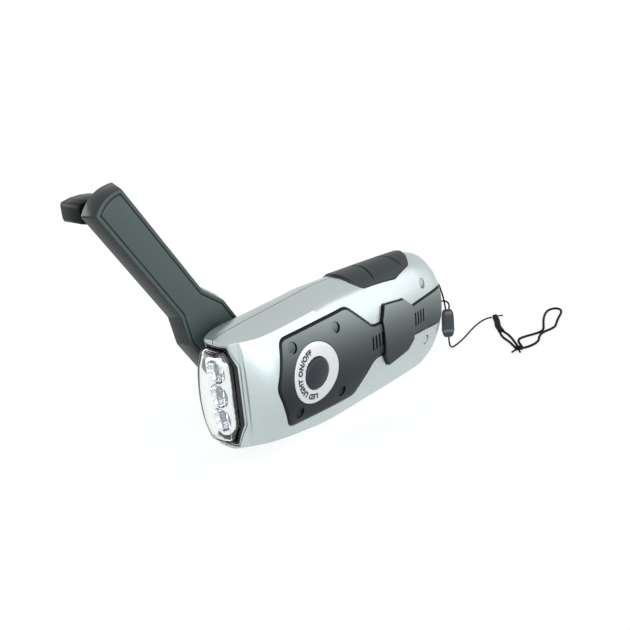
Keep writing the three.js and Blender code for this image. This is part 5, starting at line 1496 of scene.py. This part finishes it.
# A lug keeps this far from the slot's wall and from the arm's root, so that they don't share a plane
LUG_SIDE_GAP = 0.01
LUG_EDGE = 0.02
KNOB_ALONG = 86
KNOB_START = 30.5
KNOB_LENGTH = 13
KNOB_HALF_LENGTH = 8.3
KNOB_HALF_HEIGHT = 3.6
KNOB_CROWN = 1.2
KNOB_EDGE = 0.8
KNOB_EDGE_SHARE = 0.3
KNOB_CORNER = 0.45
KNOB_CROWN_SHARES = ((1, -1), (0.94, 0), (0.5, 0.75), (0, 1), (-0.5, 0.75), (-0.94, 0), (-1, -1))
KNOB_PIN_HOLE = 1.65
KNOB_PIN_END = 23.75
KNOB_PIN_SINK = 2.9
KNOB_PIN_HEAD = 2
KNOB_TUBE_START = -6
KNOB_POCKET_RADIUS = 9.8
KNOB_POCKET_FLOOR = 6.2
KNOB_POCKET_WALL = 1.4
NECK_RADIUS = 3.3
NECK_SINK = 3


def recess_outline(grow=0):
    hub_half = ARM_HUB_HALF_WIDTH + ARM_DRAFT + RECESS_CLEAR
    arm_half = ARM_HALF_WIDTH + ARM_DRAFT + RECESS_CLEAR
    outline = mirrored((
        (CRANK_PLACE, hub_half), (CRANK_PLACE - ARM_FLARE_START, hub_half),
        (CRANK_PLACE - ARM_FLARE_END, arm_half), (CRANK_PLACE - ARM_LENGTH - RECESS_CLEAR, arm_half),
    ))
    return lifted(offset_outline(outline, grow))


def to_crank(obj):
    """Turns a piece from the crank's own frame to where the crank stands."""
    obj.matrix_world = (Matrix.Translation(mm_point(CRANK_PLACE, 0, MIDDLE))
                        @ Matrix.Rotation(-radians(CRANK_ANGLE), 4, "Y"))
    settle(obj)
    return obj


def arm_outline(grow=0):
    outline = [(ARM_LENGTH, 0)]
    for k in range(1, ARM_TIP_STEPS):
        share = k / ARM_TIP_STEPS
        outline.append((ARM_LENGTH - ARM_TIP_CROWN * share ** 2, ARM_HALF_WIDTH * share))
    outline += [(ARM_LENGTH - ARM_TIP_CROWN, ARM_HALF_WIDTH), (ARM_FLARE_END, ARM_HALF_WIDTH),
                (ARM_FLARE_START, ARM_HUB_HALF_WIDTH), (0, ARM_HUB_HALF_WIDTH)]
    return offset_outline(mirrored(outline), grow)


def hinge_tool(reach):
    return rod("hinge_tool", HINGE_HOLE_RADIUS, -reach, reach, "Z", (0, -HINGE_OUT, 0), 32)


def crank_arm():
    """The arm: a drafted bar with rolled edges and a fine line round its face, and its fork."""
    face, back = -ARM_FACE_OUT, -ARM_FACE_OUT - ARM_THICKNESS
    arm = skin("crank_arm_moulded", [
        [(max(0, along), face - depth, up) for along, up in rounded(arm_outline(grow), ARM_CORNER, 3)]
        for grow, depth in ARM_SECTION
    ])
    slot = oblong((-OVERRUN, -ARM_SLOT_HALF), (ARM_SLOT_LENGTH, ARM_SLOT_HALF))
    cut(arm, plate("slot_tool", slot, -OVERRUN, OVERRUN))
    lug_outline = [(KNUCKLE_RADIUS, face - KNUCKLE_RADIUS), (KNUCKLE_RADIUS, -HINGE_OUT)]
    for k in range(1, KNUCKLE_STEPS * 3 // 2 + 1):
        angle = pi * k / KNUCKLE_STEPS
        lug_outline.append((KNUCKLE_RADIUS * cos(angle), KNUCKLE_RADIUS * sin(angle) - HINGE_OUT))
    lug_outline.append((LUG_EDGE, face - KNUCKLE_RADIUS))
    for side in (1, -1):
        reach = sorted((side * (ARM_SLOT_HALF + LUG_SIDE_GAP), side * LUG_OUTER))
        fuse(arm, plate("lug", lug_outline, *reach, "Z"))
    knob_at = (KNOB_ALONG, 0, 0)
    fuse(arm, rod("neck", NECK_RADIUS, GAP - KNOB_START, back + NECK_SINK, "Y", knob_at, 40))
    cut(arm, hinge_tool(LUG_OUTER + 1))
    cut(arm, rod("knob_pin_tool", KNOB_PIN_HOLE, -OVERRUN, -KNOB_PIN_END, "Y", knob_at, 32))
    finish_piece(to_crank(arm), "arm", "arm", "arm_plastic", "crank_arm")
    # Only the broad face is textured; its line, the edges and the back are glossier and drawn darker, as
    # painted shade on the arm's sides and in its groove
    painted_shade_faces = [part.index for part in arm.data.polygons
                if part.normal.y < ARM_FACING or part.center.y < mm(-ARM_FACE_OUT - ARM_LINE_DEPTH / 2)]
    blacken(arm, painted_shade_faces, "arm_painted_shade")


def crank_hub():
    """The hub: a turned disc with a rolled rim and a square post with a rounded knuckle."""
    low = HUB_THICKNESS - HUB_TOP
    profile = [(0, low), (HUB_RADIUS - HUB_FOOT_EDGE, low), (HUB_RADIUS, low - HUB_FOOT_EDGE)]
    profile += [(HUB_RADIUS - inset, depth - HUB_TOP) for inset, depth in HUB_RIM]
    hub = turned("crank_hub_moulded", profile, "Y", (0, 0, 0), 96)
    outline = [(KNUCKLE_RADIUS, POST_SINK - HUB_TOP), (-KNUCKLE_RADIUS, POST_SINK - HUB_TOP)]
    for k in range(KNUCKLE_STEPS + 1):
        angle = pi * k / KNUCKLE_STEPS
        outline.append((-KNUCKLE_RADIUS * cos(angle), -HINGE_OUT - KNUCKLE_RADIUS * sin(angle)))
    post = plate("post", outline, -POST_HALF_WIDTH, POST_HALF_WIDTH, "Z")
    bevel(post, POST_BEVEL, 3, 50)
    fuse(hub, post)
    cut(hub, hinge_tool(OVERRUN))
    cut(hub, rod("shaft_tool", HUB_SOCKET_RADIUS, low - HUB_SOCKET_DEPTH, OVERRUN, "Y", (0, 0, 0), 6))
    finish_piece(to_crank(hub), "arm", "crank", "arm_plastic", "crank_hub")


def knob_outline(inset):
    crown = [(along * KNOB_HALF_LENGTH, KNOB_HALF_HEIGHT + KNOB_CROWN * up)
             for along, up in KNOB_CROWN_SHARES]
    outline = crown + [(along, -up) for along, up in reversed(crown)]
    return rounded(offset_outline(outline, -inset), KNOB_CORNER, 3)


def crank_knob():
    """A polished rounded bar that turns on its pin."""
    place = CRANK_PLACE + KNOB_ALONG * cos(radians(CRANK_ANGLE))
    height = KNOB_ALONG * sin(radians(CRANK_ANGLE))
    end = KNOB_START + KNOB_LENGTH
    step = KNOB_EDGE * KNOB_EDGE_SHARE
    levels = ((KNOB_EDGE, KNOB_START), (step, KNOB_START + step), (0, KNOB_START + KNOB_EDGE),
              (0, end - KNOB_EDGE), (step, end - step), (KNOB_EDGE, end))
    knob = skin("crank_knob_polished", [
        [(place + along, -out, MIDDLE + height + up) for along, up in knob_outline(inset)]
        for inset, out in levels
    ])
    cut(knob, side_rod("pin_tool", KNOB_PIN_HOLE, -2 * OVERRUN, 0, place, height),
        side_rod("pin_head_tool", KNOB_PIN_SINK, -2 * OVERRUN, KNOB_PIN_HEAD - end, place, height, 40))
    finish_piece(knob, "knob", "knob", "knob_plastic", "crank_knob", angle=25)


# Looks of the solids that stay as they are, by how their names start
KEPT_LOOKS = {
    "board": ("led_board", "control_board"),
    "black": ("switch_body", "gear_plate", "generator_cap"),
    "natural": ("switch_plunger", "crank_gear", "idler_gear"),
    "bronze": ("crank_bush",),
    "steel": ("crank_shaft", "idler_axle", "generator_can", "rotor_shaft", "hinge_pin", "knob_pin",
              "strap_anchor", "case_screw", "plate_screw"),
    "copper": ("generator_coil",),
    "magnet": ("rotor_magnet",),
    "cell": ("battery_cell",),
}


def dress_kept_solids():
    for name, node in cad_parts.items():
        for look, starts in KEPT_LOOKS.items():
            if name.startswith(starts):
                dress(node, look)


# Studio: a pale floor, a white surround and soft lamps. The camera, mirrors and glass see both as
# white, and the floor still shows the object's shadow
SURROUND_LIGHT = 0.43
FLOOR_LIFT = 0.74
FLOOR_SIZE = 60000
FLOOR_DROP = 0.02
# Each lamp's place, target, width and height, and power in watts
LAMPS = {
    "side_softbox": ((-230, 390, 175), (0, 0, 50), (620, 280), 0.82),
    "front_softbox": ((200, 420, 135), (40, 0, 40), (340, 260), 1.5),
    "back_softbox": ((300, -360, 200), (10, 0, 45), (300, 240), 0.9),
}


def seen_directly(tree):
    """One for rays from the camera, a mirror or glass, and nought for soft light."""
    path = add_node(tree, "ShaderNodeLightPath")
    mirrors = {0: path.outputs["Is Glossy Ray"], 1: path.outputs["Is Transmission Ray"]}
    mirrored_ray = add_node(tree, "ShaderNodeMath", mirrors, operation="MAXIMUM")
    either = {0: path.outputs["Is Camera Ray"], 1: mirrored_ray.outputs["Value"]}
    return add_node(tree, "ShaderNodeMath", either, operation="MAXIMUM").outputs["Value"]


def add_floor():
    bpy.ops.mesh.primitive_plane_add(size=mm(FLOOR_SIZE), location=(0, 0, 0))
    floor = bpy.context.object
    floor.name = "studio_floor"
    floor.location.z = -mm(FLOOR_DROP)
    settle(floor)
    material, tree, shader = new_material("floor_paper_white", "#D2D5D5", 0.9, Specular_IOR_Level=0)
    lift = add_node(tree, "ShaderNodeMath", {0: seen_directly(tree), 1: FLOOR_LIFT}, operation="MULTIPLY")
    feed(tree, shader, {"Emission Color": (1, 1, 1, 1), "Emission Strength": lift.outputs["Value"]})
    floor.data.materials.append(material)
    return floor


def add_surround():
    world = bpy.data.worlds.new("studio_surround")
    world.use_nodes = True
    tree = world.node_tree
    shown = add_node(tree, "ShaderNodeMapRange",
                     {"Value": seen_directly(tree), "To Min": SURROUND_LIGHT, "To Max": 1})
    feed(tree, tree.nodes["Background"], {"Color": (1, 1, 1, 1), "Strength": shown.outputs["Result"]})
    bpy.context.scene.world = world


def add_lamp(name, place, target, size, power):
    bpy.ops.object.light_add(type="AREA", location=mm_point(*place))
    lamp = bpy.context.object
    lamp.name = name
    lamp.data.shape = "RECTANGLE"
    lamp.data.size, lamp.data.size_y = mm(size[0]), mm(size[1])
    lamp.data.energy = power
    lamp.visible_camera = False
    aim = mm_point(*target) - mm_point(*place)
    lamp.rotation_euler = aim.to_track_quat("-Z", "Y").to_euler()
    return lamp


def add_studio():
    """The lamps leave the floor to the surround, so that it is even and shows the object's soft shadow."""
    add_surround()
    spared = bpy.data.collections.new("floor_without_lamps")
    spared.objects.link(add_floor())
    for entry in spared.collection_objects:
        entry.light_linking.link_state = "EXCLUDE"
    for name, settings in LAMPS.items():
        add_lamp(name, *settings).light_linking.receiver_collection = spared
    bpy.context.scene.view_settings.view_transform = "Standard"


bpy.ops.object.select_all(action="DESELECT")
add_camera()
wrist_strap()
case_halves()
inlay_panel()
screw_plugs()
button_ring()
power_button()
clasp()
grip_pad()
front_lens()
lens_seal()
reflector()
diodes()
crank_arm()
crank_hub()
crank_knob()
dress_kept_solids()
add_studio()
